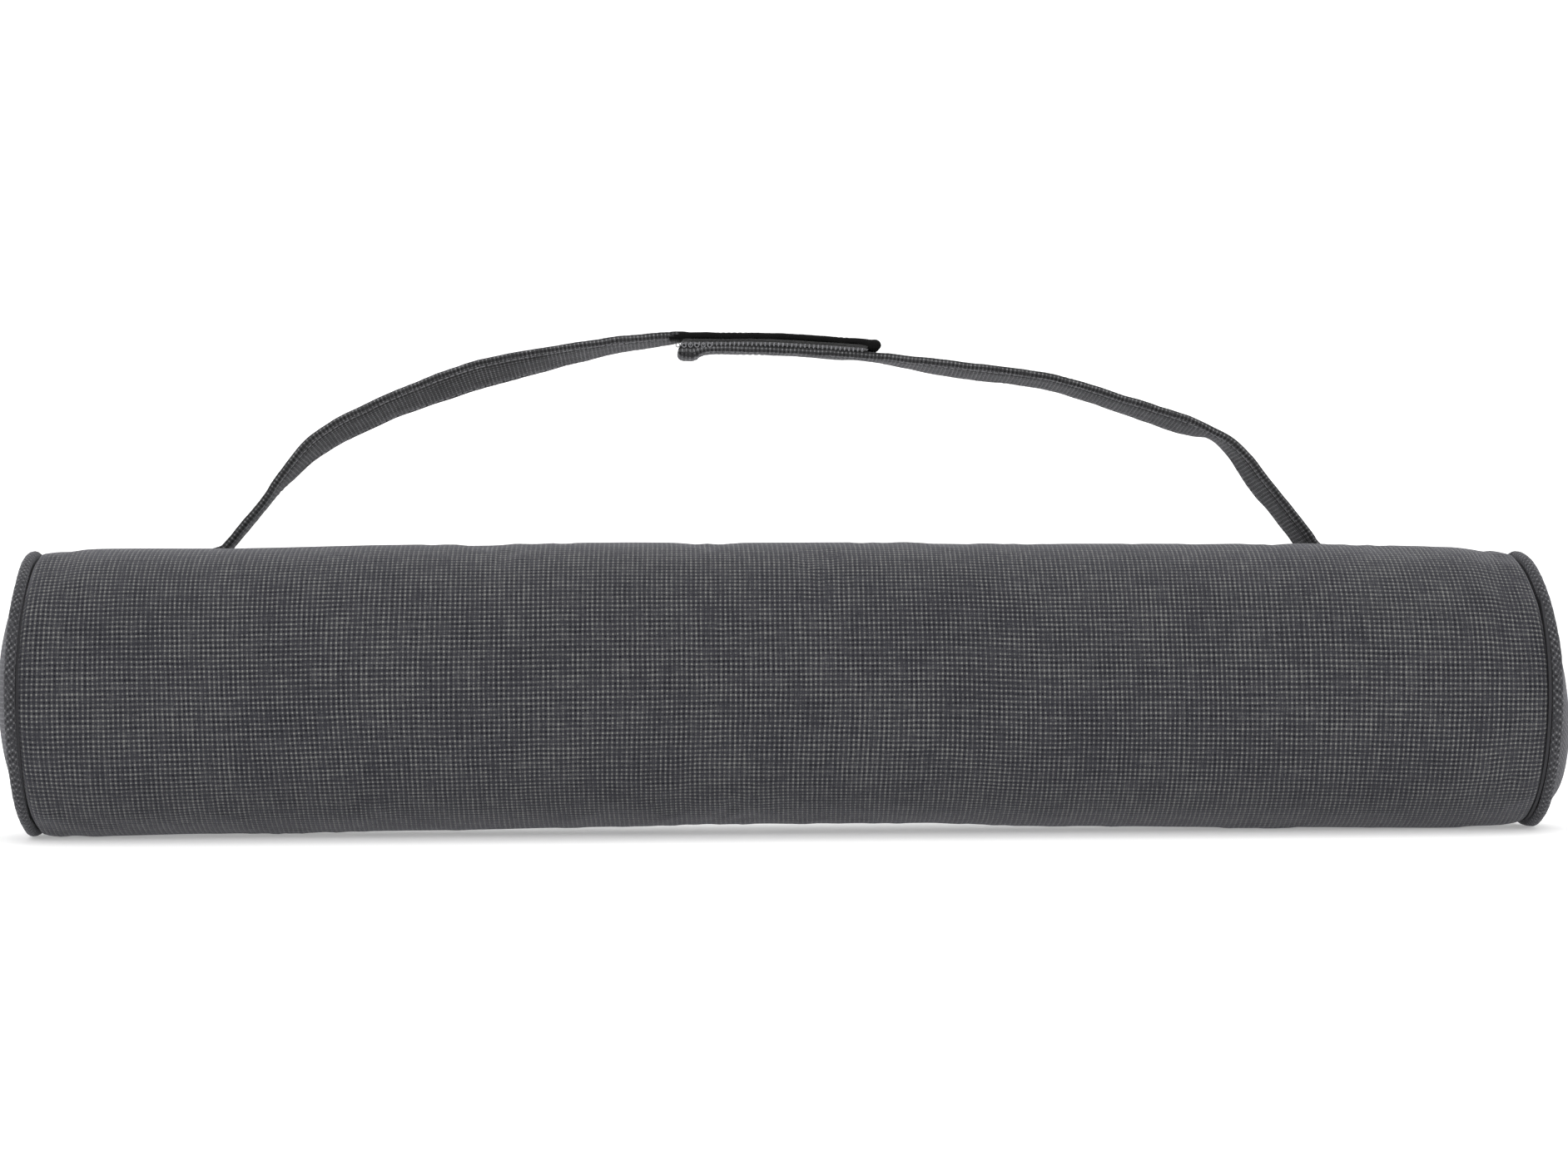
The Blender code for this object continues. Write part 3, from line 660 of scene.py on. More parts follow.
def slit_edge(x):
    """From the zip's middle line to the cover's edge: open beside the zip and a butted seam past it."""
    inside = np.clip((SLIT_END + SLIT_CORNER - np.abs(x)) / SLIT_CORNER, 0, 1)
    return SEAM_GAP + (SLIT_HALF - SEAM_GAP) * np.sqrt(inside)


def wall_piece(name, side, depth, thickness, edge_of, half_length, pitch, material, slot):
    """Half of a wall layer: side -1 goes from the zip over the top to the bottom, 1 straight down."""
    zip_line = ZIP_ANGLE * RADIUS

    def trim(x, t):
        edge = zip_line + side * edge_of(x)
        if side < 0:
            return np.stack([x, -BOTTOM + t * (edge + BOTTOM)], -1)
        return np.stack([x, edge + t * (BOTTOM - edge)], -1)

    girth = BOTTOM + side * -zip_line
    steps = (pitch, pitch / girth)
    piece = cut_blank(name, (-half_length, 0.0), (half_length, 1.0), steps, trim)
    lay(piece, lambda x, t: skin(x, t / RADIUS, depth))
    thicken(piece, thickness, edge=min(0.45 * thickness, 0.5 * MM))
    smooth(piece)
    dress(piece, material, slot)
    open_with(piece)
    return piece, girth


def make_cover():
    for side, word in ((-1, "upper"), (1, "lower")):
        piece, girth = wall_piece(
            "cover_" + word, side, 0.0, CLOTH, slit_edge, HALF_LENGTH, COVER_PITCH, canvas, "woven_cloth"
        )
        if side < 0:
            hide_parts("outer_panel", "upper_lip")
        else:
            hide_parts("lower_lip")


def padding_edge(x):
    """The padding stops short of the zip tape beside the mouth, and of the tape's ends past it."""
    return (TAPE_HALF + 1.4 * MM) * (np.abs(x) < SLIT_END + SLIT_CORNER) + SEAM_GAP


def make_padding():
    inside = HALF_LENGTH - 1.5 * MM
    for side, word in ((-1, "upper"), (1, "lower")):
        piece, girth = wall_piece(
            "padding_" + word, side, PADDING_DEPTH, PADDING, padding_edge, inside, INNER_PITCH, foam, "foam"
        )
        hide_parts("wall_padding", word + "_lip_padding")
        piece, girth = wall_piece(
            "lining_" + word, side, LINING_DEPTH, LINING, padding_edge, inside, INNER_PITCH,
            lining_cloth, "lining_cloth",
        )
        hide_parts("lining_sleeve", word + "_lip_lining")


def zip_angle(across):
    return ZIP_ANGLE + across / RADIUS


def make_facing(side, word):
    """Binding folded round the padding's raw edge beside the zip tape, from the cover to the lining."""
    near = TAPE_HALF + 0.7 * MM
    reach = 6 * MM
    top = CLOTH + 0.1 * MM
    low = LINING_DEPTH + LINING + 0.4 * MM
    bend = 1 * MM
    upper = [(near + reach, top), (near + bend, top), (near, top + bend)]
    lower = [(near, low - bend), (near + bend, low), (near + reach, low)]
    route = np.array(upper + lower)
    steps = np.concatenate([[0], np.cumsum(np.linalg.norm(np.diff(route, axis=0), axis=1))])
    length = steps[-1]
    half = MOUTH_HALF + 22 * MM
    piece = cut_blank("facing_" + word, (-half, 0.0), (half, length), (4 * MM, 0.9 * MM))

    def shape(x, t):
        across = np.interp(t, steps, route[:, 0])
        depth = np.interp(t, steps, route[:, 1])
        return skin(x, zip_angle(side * across), depth)

    lay(piece, shape)
    if side > 0:
        piece.data.flip_normals()
    thicken(piece, 0.5 * MM)
    smooth(piece)
    dress(piece, binding_tape, "binding_tape")
    open_with(piece)
    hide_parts(word + "_mouth_facing")


# ---------------------------------------------------------------- zip

COIL_PITCH = 1.5 * MM
COIL_WIRE = 0.55 * MM
COIL_TOP = 0.9 * MM  # under the cover's face
COIL_SIZE = (2.0 * MM, 2.0 * MM)  # across the zip and through it
COIL_OVERLAP = 0.25 * MM  # how far a loop's head reaches past the middle line
ZIP_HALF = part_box("zip_end_teeth_right")[1].x


def make_tape(side, word):
    tail = SLIT_END + 4 * MM
    piece = cut_blank("zip_tape_" + word, (-tail, 1.9 * MM), (tail, TAPE_HALF), (3 * MM, 1.4 * MM))
    lay(piece, lambda x, t: skin(x, zip_angle(side * t), CLOTH + 0.35 * MM))
    if side < 0:
        piece.data.flip_normals()
    thicken(piece, TAPE, edge=0.2 * MM)
    smooth(piece)
    dress(piece, zip_tape, "binding_tape")
    open_with(piece)
    end = "left" if side < 0 else "right"
    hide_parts(word + "_zip_tape", "zip_end_tape_" + end)


def make_coil(side, word):
    """One row of the coil: flattened, skewed loops that mesh with the other row's, half a pitch on."""
    deselect()
    wire = 0.5 * COIL_WIRE / COIL_SIZE[0]
    bpy.ops.mesh.primitive_torus_add(
        major_segments=10, minor_segments=5, major_radius=0.5, minor_radius=wire, rotation=(0, math.pi / 2, 0)
    )
    loop = bpy.context.object
    bpy.ops.object.transform_apply(location=False, rotation=True, scale=False)
    points = points_of(loop)
    skew = COIL_PITCH / 2 * points[:, 2]
    points *= np.array([COIL_SIZE[0], COIL_SIZE[0], COIL_SIZE[1]])
    points[:, 0] += skew
    set_points(loop, points)
    x = np.arange(-ZIP_HALF, ZIP_HALF, COIL_PITCH) + (COIL_PITCH / 2 if side > 0 else 0)
    across = COIL_SIZE[0] / 2 + COIL_WIRE / 2 - COIL_OVERLAP
    angle = zip_angle(side * across) + 0 * x
    places = skin(x, angle, COIL_TOP + COIL_SIZE[1] / 2)
    out = np.stack([0 * x, np.sin(angle), np.cos(angle)], -1)
    along = np.stack([1 + 0 * x, 0 * x, 0 * x], -1)
    piece = repeat("zip_coil_" + word, loop, places, along, out)
    dress(piece, coil_plastic, "zip_teeth")
    open_with(piece)
    end = "left" if side < 0 else "right"
    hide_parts(word + "_zip_teeth", "zip_end_teeth_" + end)


def make_topstitch(side, word):
    """Two rows of stitches that hold the zip tape to the cover."""
    half = SLIT_END + 3 * MM
    x = spaced(-half, half, 3.2 * MM)
    along = np.tile([1.0, 0, 0], (len(x), 1))
    rows = []
    for across in (6.2 * MM, 10.5 * MM):
        angle = zip_angle(side * across) + 0 * x
        out = np.stack([0 * x, np.sin(angle), np.cos(angle)], -1)
        rows.append((skin(x, angle, -0.08 * MM), along, out))
    piece = sewn("topstitch_" + word, (2.5 * MM, 0.55 * MM, 0.5 * MM), rows)
    dress(piece, grey_thread, "woven_cloth")
    open_with(piece)


def zip_frame(x, proud):
    """Where a zip part lies: X along the bag, Y round it and Z outwards, proud of the cover."""
    out = Vector((0, math.sin(ZIP_ANGLE), math.cos(ZIP_ANGLE)))
    side = Vector((0, math.cos(ZIP_ANGLE), -math.sin(ZIP_ANGLE)))
    origin = Vector((x, 0, CENTRE_Z)) + out * (RADIUS + proud)
    turn = Matrix((Vector((1, 0, 0)), side, -out)).transposed()
    turn.col[2] = out
    return Matrix.Translation(origin) @ turn.to_4x4()


def block(name, size, centre, edge, steps=3):
    """A block with rounded edges, at centre in its own frame, all in millimetres."""
    deselect()
    bpy.ops.mesh.primitive_cube_add(size=1)
    piece = bpy.context.object
    piece.name = name
    set_points(piece, (points_of(piece) * np.array(size) + np.array(centre)) * MM)
    with_modifier(piece, "BEVEL", width=edge * MM, segments=steps, limit_method="ANGLE")
    return piece


def joined(name, pieces):
    deselect()
    for piece in pieces:
        piece.select_set(True)
    bpy.context.view_layer.objects.active = pieces[0]
    bpy.ops.object.join()
    pieces[0].name = name
    return pieces[0]


def placed(piece, matrix):
    piece.data.transform(matrix)
    if matrix.determinant() < 0:
        piece.data.flip_normals()


def make_slider():
    """The slider: two waisted plates with flanges, a neck between the rows and a bridge for the pull."""
    low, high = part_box("zip_slider")
    middle = (low.x + high.x) / 2
    length = (high.x - low.x) / MM
    width = 6.0
    plates = []
    for height in (0.05, -3.75):
        plate = block("plate", (length, width, 1.0), (0, 0, height), 0.35)
        points = points_of(plate) / MM
        points[:, 1] *= 1 - 0.24 * eased(-points[:, 0] / (length / 2))
        points[:, 0] *= 1 - 0.10 * (2 * points[:, 1] / width) ** 2
        set_points(plate, points * MM)
        plates.append(plate)
    for sign in (-1, 1):
        plates.append(block("flange", (0.8 * length, 0.7, 1.2), (0, sign * 2.6, -0.7), 0.2))
    plates.append(block("neck", (2.2, 0.4, 3.0), (length / 2 - 2, 0, -1.9), 0.1, 1))
    bridge_top = 3.2
    for sign in (-1, 1):
        plates.append(block("post", (1.0, 1.5, bridge_top), (sign * 3.2, 0, bridge_top / 2), 0.3))
    plates.append(block("bar", (7.2, 1.5, 0.9), (0, 0, bridge_top - 0.3), 0.35))
    slider = joined("slider_body", plates)
    placed(slider, zip_frame(middle, 0.0))
    smooth(slider)
    dress(slider, zip_enamel, "zip_metal")
    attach(slider, "slider")
    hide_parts("zip_slider")


def make_pull():
    """The pull: a flat tab with a window round the bridge, a raised rim and a rounded end."""
    pivot = Vector(joints["pull_flip"]["pos_m"])
    length, width, thick = 18.0, 5.2, 1.0
    tab = block("pull_tab", (length, width, thick), (length / 2 - thick / 2, 0, 0), 0.3)
    points = points_of(tab) / MM
    rounding = np.clip((points[:, 0] - (length - width / 2 - thick / 2)) / (width / 2), 0, 1)
    points[:, 1] *= np.sqrt(1 - 0.86 * rounding**2)
    set_points(tab, points * MM)
    window = block("window", (4.3, 2.4, 3 * thick), (2.65, 0, 0), 0.4)
    hollow = block("hollow", (8.4, 2.8, 0.5 * thick), (10.6, 0, thick / 2 + 0.05), 0.2)
    for cutter in (window, hollow):
        with_modifier(tab, "BOOLEAN", object=cutter, operation="DIFFERENCE", solver="EXACT")
        bpy.data.objects.remove(cutter, do_unlink=True)
    matrix = zip_frame(pivot.x, 0.0)
    matrix.translation = pivot
    placed(tab, matrix)
    smooth(tab)
    dress(tab, zip_enamel, "zip_metal")
    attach(tab, "pull")
    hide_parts("zip_pull")


def make_stops():
    """A crimped metal stop over the last teeth at each end."""
    for word in ("left", "right"):
        low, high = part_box("zip_stop_" + word)
        parts = [block("stop", ((high.x - low.x) / MM, 3.3, 2.2), (0, 0, -1.7), 0.5)]
        for sign in (-1, 1):
            parts.append(block("claw", (0.7, 3.5, 2.4), (sign * 0.9, 0, -1.7), 0.25))
        stop = joined("stop_" + word, parts)
        placed(stop, zip_frame((low.x + high.x) / 2, 0.0))
        smooth(stop)
        dress(stop, zip_enamel, "zip_metal")
        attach(stop, "bag")
        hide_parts("zip_stop_" + word)


# ---------------------------------------------------------------- ends

PIPING_STEPS = 216
# Each end's own set, in millimetres: how far its ring is drawn in and lifted, its dome's height and drop.
END_SETS = {"left": (0.8, 0.6, 11.7, 0.0), "right": (1.8, -0.6, 15.4, 19.0)}
DOME_POWER = {"left": 3.0, "right": 3.1}  # how flat each dome's middle is
PIPING_CORD = 4.6 * MM


def ring_place(angle, radius, floor, lift):
    """A place round an end, in Y and Z, whose ring flattens where the bag rests."""
    y = radius * np.sin(angle)
    z = CENTRE_Z + lift + radius * np.cos(angle)
    above = z - floor
    return y, z + (np.sqrt(above**2 + BASE_SOFTNESS**2) - above) / 2


def make_piping(side, word):
    """A cord sewn into bias-cut canvas. The cloth draws tight over it, with slight diagonal puckers."""
    low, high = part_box("piping_" + word)
    cord = PIPING_CORD / 2
    middle_x = (low.x if side > 0 else high.x) + side * cord
    drawn, lift = (part * MM for part in END_SETS[word][:2])
    ring = (high.y - low.y) / 2 - cord - drawn
    around = 2 * math.pi
    steps = (around / PIPING_STEPS, around / 16)
    piece = cut_blank("piping_cloth_" + word, (0.0, 0.0), (around, around), steps)

    def shape(turn, roll):
        uneven = 0.035 * ripple(16 * turn + roll, 5 * turn, 3 + side) + 0.02 * np.sin(54 * turn + 2 * roll)
        radius = cord * (1 + uneven)
        reach = ring + radius * np.cos(roll)
        y, z = ring_place(turn, reach, 0.1 * MM, lift)
        sway = 0.25 * MM * ripple(3 * turn, 0 * turn, 4 + side)
        x = middle_x + sway - side * seam_pull(side, turn) + side * radius * np.sin(roll)
        return np.stack([x, y, z], -1)

    flat = points_of(piece)
    bias = np.stack([flat[:, 0] * ring + flat[:, 1] * cord, flat[:, 0] * ring - flat[:, 1] * cord], -1)
    keep_cut(piece, bias / math.sqrt(2))
    lay(piece, shape)
    close_up(piece)
    smooth(piece, 80)
    dress(piece, end_canvas, "woven_cloth")
    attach(piece, "bag")
    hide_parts("piping_" + word)


def make_seam_flange(side, word):
    """The piping's flat edge, sewn in between the cover and the end: it closes the seam behind the cord."""
    low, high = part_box("piping_" + word)
    drawn, lift = (part * MM for part in END_SETS[word][:2])
    outer = (high.y - low.y) / 2 - drawn - 3.0 * MM
    inner = outer - 7 * MM
    start_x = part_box("seam_binding_" + word)[1 if side > 0 else 0].x - side * 2.4 * MM
    around = 2 * math.pi
    piece = cut_blank("seam_flange_" + word, (0.0, 0.0), (around, 1.0), (around / 144, 0.25))

    def shape(turn, share):
        y, z = ring_place(turn, inner + (outer - inner) * share, 2.0 * MM, lift)
        return np.stack([start_x + side * (4.0 * MM * share - seam_pull(side, turn)), y, z], -1)

    flat = points_of(piece)
    keep_cut(piece, np.stack([flat[:, 0] * inner, flat[:, 1] * 9 * MM], -1))
    lay(piece, shape)
    close_up(piece)
    thicken(piece, 0.8 * MM)
    smooth(piece, 60)
    dress(piece, binding_tape, "binding_tape")
    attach(piece, "bag")


def make_end_panel(side, word):
    """The round end: pushed out by the padding, gathered a little where the seam draws it in."""
    low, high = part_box("end_panel_" + word)
    drawn, lift, dome_height, drop = (part * MM for part in END_SETS[word])
    rim = (high.y - low.y) / 2 - drawn + 0.6 * MM
    seam_x = low.x if side > 0 else high.x
    around = 2 * math.pi
    rings = 22
    piece = cut_blank("end_cloth_" + word, (0.0, 0.0), (around, 1.0), (around / 144, 1 / rings))

    def shape(turn, share):
        gathers = 0.55 * MM * share**5 * (1 - share**20) * ripple(11 * turn, 3 * share, 6 + side)
        slack = 1.6 * MM * ripple(2 * turn, 3 * share, 8 + side) * (1 - share) * share
        dome = dome_height * (1 - share ** DOME_POWER[word]) - seam_pull(side, turn) * share**2
        y, z = ring_place(turn, rim * share, 3.2 * MM, lift)
        z = z - drop * (1 - share**2)
        point = np.stack([seam_x + side * (CLOTH + dome + gathers + slack), y, z], -1)
        middle = [seam_x + side * (CLOTH + dome_height), 0, CENTRE_Z + lift - drop]
        return np.where(share[:, None] < 1e-6, middle, point)

    flat = points_of(piece)
    disc = np.stack([flat[:, 1] * rim * np.sin(flat[:, 0]), flat[:, 1] * rim * np.cos(flat[:, 0])], -1)
    keep_cut(piece, disc)
    lay(piece, shape)
    close_up(piece)
    if sum(face.normal.x for face in piece.data.polygons) * side < 0:
        piece.data.flip_normals()
    thicken(piece, CLOTH)
    smooth(piece, 60)
    dress(piece, end_canvas, "woven_cloth")
    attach(piece, "bag")
    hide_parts("end_panel_" + word)


def finish_hidden_nodes():
    """The stiffeners, end linings and seam bindings keep the frame's own shapes, in their real finishes."""
    finishes = (
        ("end_stiffener_", foam, "foam"),
        ("end_lining_", lining_cloth, "lining_cloth"),
        ("seam_binding_", binding_tape, "binding_tape"),
    )
    for stem, material, slot in finishes:
        for word in ("left", "right"):
            node = frame["nodes"][stem + word]
            node.data.materials.clear()
            node.data.materials.append(material)


# ---------------------------------------------------------------- strap

# Each half from its root to the closure: share of the way along X, height over the root, lean in degrees.
LEFT_ARCH = (
    (0.05, 0.0112, 0),
    (0.090, 0.0204, 1),
    (0.125, 0.0286, 8),
    (0.21, 0.0441, 20),
    (0.345, 0.0575, 24),
    (0.51, 0.0692, 29),
    (0.62, 0.0752, 27),
    (0.73, 0.0797, 21),
    (0.88, 0.0851, 10),
    (1.0, 0.0879, 4),
)
RIGHT_ARCH = (
    (0.055, 0.0136, 14),
    (0.098, 0.0230, 15),
    (0.138, 0.0332, 13),
    (0.176, 0.0414, 6),
    (0.214, 0.0463, 2),
    (0.252, 0.0486, 9),
    (0.30, 0.0516, 14),
    (0.42, 0.0590, 12),
    (0.60, 0.0691, 11),
    (0.81, 0.0742, 10),
)
# The closure: share of the way across it, and height over the root of the tongue's middle line.
CLOSURE_LINE = ((0.0, 0.0886), (0.5, 0.0883), (1.0, 0.0854))
TONGUE = 2.4 * MM
PAD = 1.0 * MM
HOOK_DROP = TONGUE / 2 + LAYER_GAP + PAD / 2
LOOP_DROP = HOOK_DROP + PAD + LAYER_GAP
STRAP_DROP = LOOP_DROP + PAD / 2 + LAYER_GAP + STRAP_THICKNESS / 2
FOOT_THICKNESS = 1.3 * MM
FOOT_LENGTH = 32 * MM
STITCH_START = FOOT_LENGTH + 12 * MM  # along a strap half, just past its root


def smooth_curve(points, steps=12):
    """Points on one smooth curve through the given ones, whatever numbers each holds."""
    points = np.array(points, float)
    padded = np.vstack([2 * points[0] - points[1], points, 2 * points[-1] - points[-2]])
    t = (np.arange(steps) / steps)[:, None]
    runs = []
    for a, b, c, d in zip(padded, padded[1:], padded[2:], padded[3:]):
        curve = 2 * b + (c - a) * t + (2 * a - 5 * b + 4 * c - d) * t**2 + (3 * b - a - 3 * c + d) * t**3
        runs.append(0.5 * curve)
    return np.vstack([*runs, points[-1]])


class Band:
    """A strap's route: a smooth line of (x, y, z, lean, half thickness), read by distance along it."""

    def __init__(self, stations, width, rounded=(1.6 * MM, 1.6 * MM)):
        self.line = smooth_curve(stations)
        gaps = np.linalg.norm(np.diff(self.line[:, :3], axis=0), axis=1)
        self.at = np.concatenate([[0], np.cumsum(gaps)])
        self.length = self.at[-1]
        self.width = width
        self.rounded = rounded

    def read(self, s, column):
        return np.interp(s, self.at, self.line[:, column])

    def frame(self, s):
        """The middle, and the across and up directions, at distance s."""
        middle = np.stack([self.read(s, k) for k in range(3)], -1)
        step = 1.5 * MM
        ahead = np.stack([self.read(np.clip(s + step, 0, self.length), k) for k in range(3)], -1)
        behind = np.stack([self.read(np.clip(s - step, 0, self.length), k) for k in range(3)], -1)
        along = ahead - behind
        along /= np.linalg.norm(along, axis=-1, keepdims=True)
        along *= np.where(along[..., :1] < 0, -1, 1)
        up = np.stack([-along[..., 2], 0 * along[..., 0], along[..., 0]], -1)
        up /= np.linalg.norm(up, axis=-1, keepdims=True)
        lean = np.radians(self.read(s, 3))[..., None]
        back = np.array([0.0, 1.0, 0.0])
        across = back * np.cos(lean) - up * np.sin(lean)
        outward = up * np.cos(lean) + back * np.sin(lean)
        return middle, along, across, outward

    def half_thickness(self, s):
        half = self.read(s, 4)
        for reach, distance in zip(self.rounded, (s, self.length - s)):
            half = half * np.sqrt(np.clip(1 - (1 - np.clip(distance / reach, 0, 1)) ** 2, 0, 1))
        return half

    def point(self, s, across, share, uneven=0.0):
        """A point across metres from the band's middle, share of the way from there to its face."""
        middle, _, side, outward = self.frame(s)
        height = self.half_thickness(s) * share + uneven
        return middle + side * np.asarray(across)[..., None] + outward * height[..., None]


STRAP_EDGE = 2.3 * MM  # from a strap's edge to its row of stitches
FACE_SHARE = 0.41  # of the way round a strap, taken by one face


def section(around, half_width, half):
    """Round a flat band with rolled edges: distance across, share of its thickness, and 1 on a face."""
    edge = 0.5 - FACE_SHARE
    side = np.where(around < 0.5, 1.0, -1.0)
    place = np.where(around < 0.5, around, around - 0.5)
    on_face = place <= FACE_SHARE
    straight = half_width - half
    across = side * straight * (1 - 2 * place / FACE_SHARE)
    turn = math.pi * (place - FACE_SHARE) / edge
    rolled = -side * (straight + half * np.sin(turn))
    return np.where(on_face, across, rolled), np.where(on_face, side, side * np.cos(turn)), on_face


def make_band(name, band, material, slot, puff=0.3 * MM, seam=0.35 * MM, seed=1):
    """A folded and stitched band of cloth: crowned between its rows of stitches and pinched along them."""
    rounds = 56
    piece = cut_blank(name, (0.0, 0.0), (band.length, 1.0), (1.1 * MM, 1 / rounds))
    flat = points_of(piece)
    share = flat[:, 0] / band.length
    flat[:, 0] = band.length * (share - 0.9 * np.sin(2 * math.pi * share) / (2 * math.pi))
    set_points(piece, flat)
    keep_cut(piece, flat[:, :2] * np.array([1, 2 * band.width]))

    def shape(s, around):
        half = band.half_thickness(s)
        across, share, on_face = section(around % 1.0, band.width / 2, half)
        from_edge = band.width / 2 - np.abs(across)
        pinch = seam * np.exp(-(((from_edge - STRAP_EDGE) / (0.8 * MM)) ** 2))
        crown = puff * eased((from_edge - STRAP_EDGE) / (4 * MM))
        waves = 0.3 * MM * ripple(s * 160, across * 120, seed)
        waves = waves + 0.12 * MM * ripple(s * 700, across * 300, seed + 4)
        open_share = np.clip(half / (STRAP_THICKNESS / 2), 0, 1)
        raised = np.sign(share) * (crown - pinch) * on_face * open_share + waves * open_share
        sway = 0.35 * MM * ripple(s * 90, 0 * s, seed + 2)
        return band.point(s, across + sway, share, raised)

    lay(piece, shape)
    close_up(piece)
    smooth(piece, 70)
    dress(piece, material, slot)
    return piece


def foot_stations(root, side, arch, closure_x):
    """From the foot's sewn end, flat on the bag behind its top, up to just short of the root."""
    angle = math.asin(STRAP_Y / (RADIUS + 0.8 * MM))
    run = arch[0][0] * (closure_x - root.x)
    rise = arch[0][1]
    reach = 1.9 * MM / math.hypot(run, rise)
    lean = math.degrees(angle)
    half = FOOT_THICKNESS / 2

    def on_skin(back_by, lift):
        x = root.x + side * back_by
        z = skin(x, angle, -half - 0.15 * MM)[2]
        return x, STRAP_Y, z + lift

    climb = root.z - rise * reach - on_skin(0, 0)[2]
    return [
        (*on_skin(FOOT_LENGTH, 0), lean, half),
        (*on_skin(FOOT_LENGTH / 2, 0), lean, half),
        (*on_skin(9.5 * MM, climb / 6), 0.9 * lean, 1.3 * half),
        (*on_skin(5.0 * MM, climb / 2), 0.5 * lean, 2.0 * half),
        (root.x - run * reach, STRAP_Y, root.z - rise * reach, arch[0][2], 0.98 * STRAP_THICKNESS / 2),
    ]


def arch_stations(root, arch, closure_x):
    half = STRAP_THICKNESS / 2
    span = closure_x - root.x
    return [(root.x + share * span, STRAP_Y, root.z + height, lean, half) for share, height, lean in arch]


def closure_stations(drop, half, start, end, steps=7):
    """Stations across the closure, drop under the tongue's middle line."""
    line = smooth_curve(CLOSURE_LINE, 12)
    span = CLOSURE_RIGHT - CLOSURE_LEFT
    places = np.linspace(start, end, steps)
    heights = np.interp((places - CLOSURE_LEFT) / span, line[:, 0], line[:, 1])
    return [(x, STRAP_Y, LEFT_ROOT.z + z - drop, 0.0, half) for x, z in zip(places, heights)]


def hinge_strap(piece):
    """Bakes the strap's transform into its mesh."""
    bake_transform(piece)


def strap_stitches(name, band, start, end, faces, body, material=None, pitch=2.7 * MM):
    """Rows of stitches near both edges of a strap, on the faces given."""
    s = spaced(start, end, pitch)
    _, along, _, outward = band.frame(s)
    rows = []
    for face in faces:
        for side in (-1, 1):
            across = side * (band.width / 2 - STRAP_EDGE) + 0 * s
            rows.append((band.point(s, across, face, -face * 0.22 * MM), along, outward * face))
    piece = sewn(name, (2.1 * MM, 0.6 * MM, 0.55 * MM), rows)
    dress(piece, material or grey_thread, "strap_cloth")
    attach(piece, body)
    return piece


def foot_stitches(name, band, start, length):
    """A box with a cross in it, sewn through the strap's foot into the bag."""
    half = band.width / 2 - STRAP_EDGE
    inset = 2.5 * MM
    left, right = start + inset, start + length
    box = [(left, -half), (right, -half), (right, half), (left, half), (left, -half)]
    rows = []
    for (s0, a0), (s1, a1) in [*zip(box, box[1:]), (box[0], box[2]), (box[1], box[3])]:
        run = math.hypot(s1 - s0, a1 - a0)
        share = spaced(0, 1, 2.6 * MM / run)
        s = s0 + (s1 - s0) * share
        a = a0 + (a1 - a0) * share
        _, along, sideways, outward = band.frame(s)
        direction = along * (s1 - s0) / run + sideways * (a1 - a0) / run
        rows.append((band.point(s, a, 1, 0.12 * MM + 0 * s), direction, outward))
    piece = sewn(name, (2.0 * MM, 0.55 * MM, 0.55 * MM), rows)
    dress(piece, grey_thread, "strap_cloth")
    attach(piece, "bag")


def make_left_half():
    end = CLOSURE_LEFT - LAYER_GAP
    foot = foot_stations(LEFT_ROOT, -1, LEFT_ARCH, end)
    root = (LEFT_ROOT.x, STRAP_Y, LEFT_ROOT.z, LEFT_ARCH[0][2], STRAP_THICKNESS / 2)
    half = STRAP_THICKNESS / 2
    tucked = (CLOSURE_LEFT + 4 * MM, STRAP_Y, LEFT_ROOT.z + CLOSURE_LINE[0][1], 0, 0.75 * half)
    band = Band([*foot, root, *arch_stations(LEFT_ROOT, LEFT_ARCH, end), tucked], STRAP_WIDTH)
    piece = make_band("strap_half_left", band, strap_canvas, "strap_cloth", seed=1)
    hinge_strap(piece)
    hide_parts("strap_left", "strap_foot_left")
    last = band.length - 3 * MM
    strap_stitches("strap_stitches_left", band, STITCH_START, last, (-1, 1), "left_strap_half")
    foot_stitches("foot_stitches_left", band, 0.0, 20 * MM)


BULB = 15 * MM  # the folded-back end of the right half
BULB_DROP = 1.3 * MM


def make_right_half():
    foot = foot_stations(RIGHT_ROOT, 1, RIGHT_ARCH, CLOSURE_RIGHT)
    half = STRAP_THICKNESS / 2
    root = (RIGHT_ROOT.x, STRAP_Y, RIGHT_ROOT.z, RIGHT_ARCH[0][2], half)
    overlap = closure_stations(STRAP_DROP, half, CLOSURE_RIGHT, CLOSURE_LEFT + BULB, 6)
    bulb = (CLOSURE_LEFT + 9 * MM, CLOSURE_LEFT + 2.4 * MM)
    folded = closure_stations(STRAP_DROP + BULB_DROP, half + BULB_DROP, *bulb, 4)
    stations = [*foot, root, *arch_stations(RIGHT_ROOT, RIGHT_ARCH, CLOSURE_RIGHT), *overlap, *folded]
    band = Band(stations, STRAP_WIDTH, (1.6 * MM, 3.2 * MM))
    piece = make_band("strap_half_right", band, strap_canvas, "strap_cloth", seed=3)
    hinge_strap(piece)
    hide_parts("strap_right", "strap_foot_right")
    body = "right_strap_half"
    strap_stitches("strap_stitches_right", band, STITCH_START, band.length - 95 * MM, (-1, 1), body)
    strap_stitches("strap_stitches_overlap", band, band.length - 84 * MM, band.length - 6 * MM, (-1,), body)
    foot_stitches("foot_stitches_right", band, 0.0, 20 * MM)


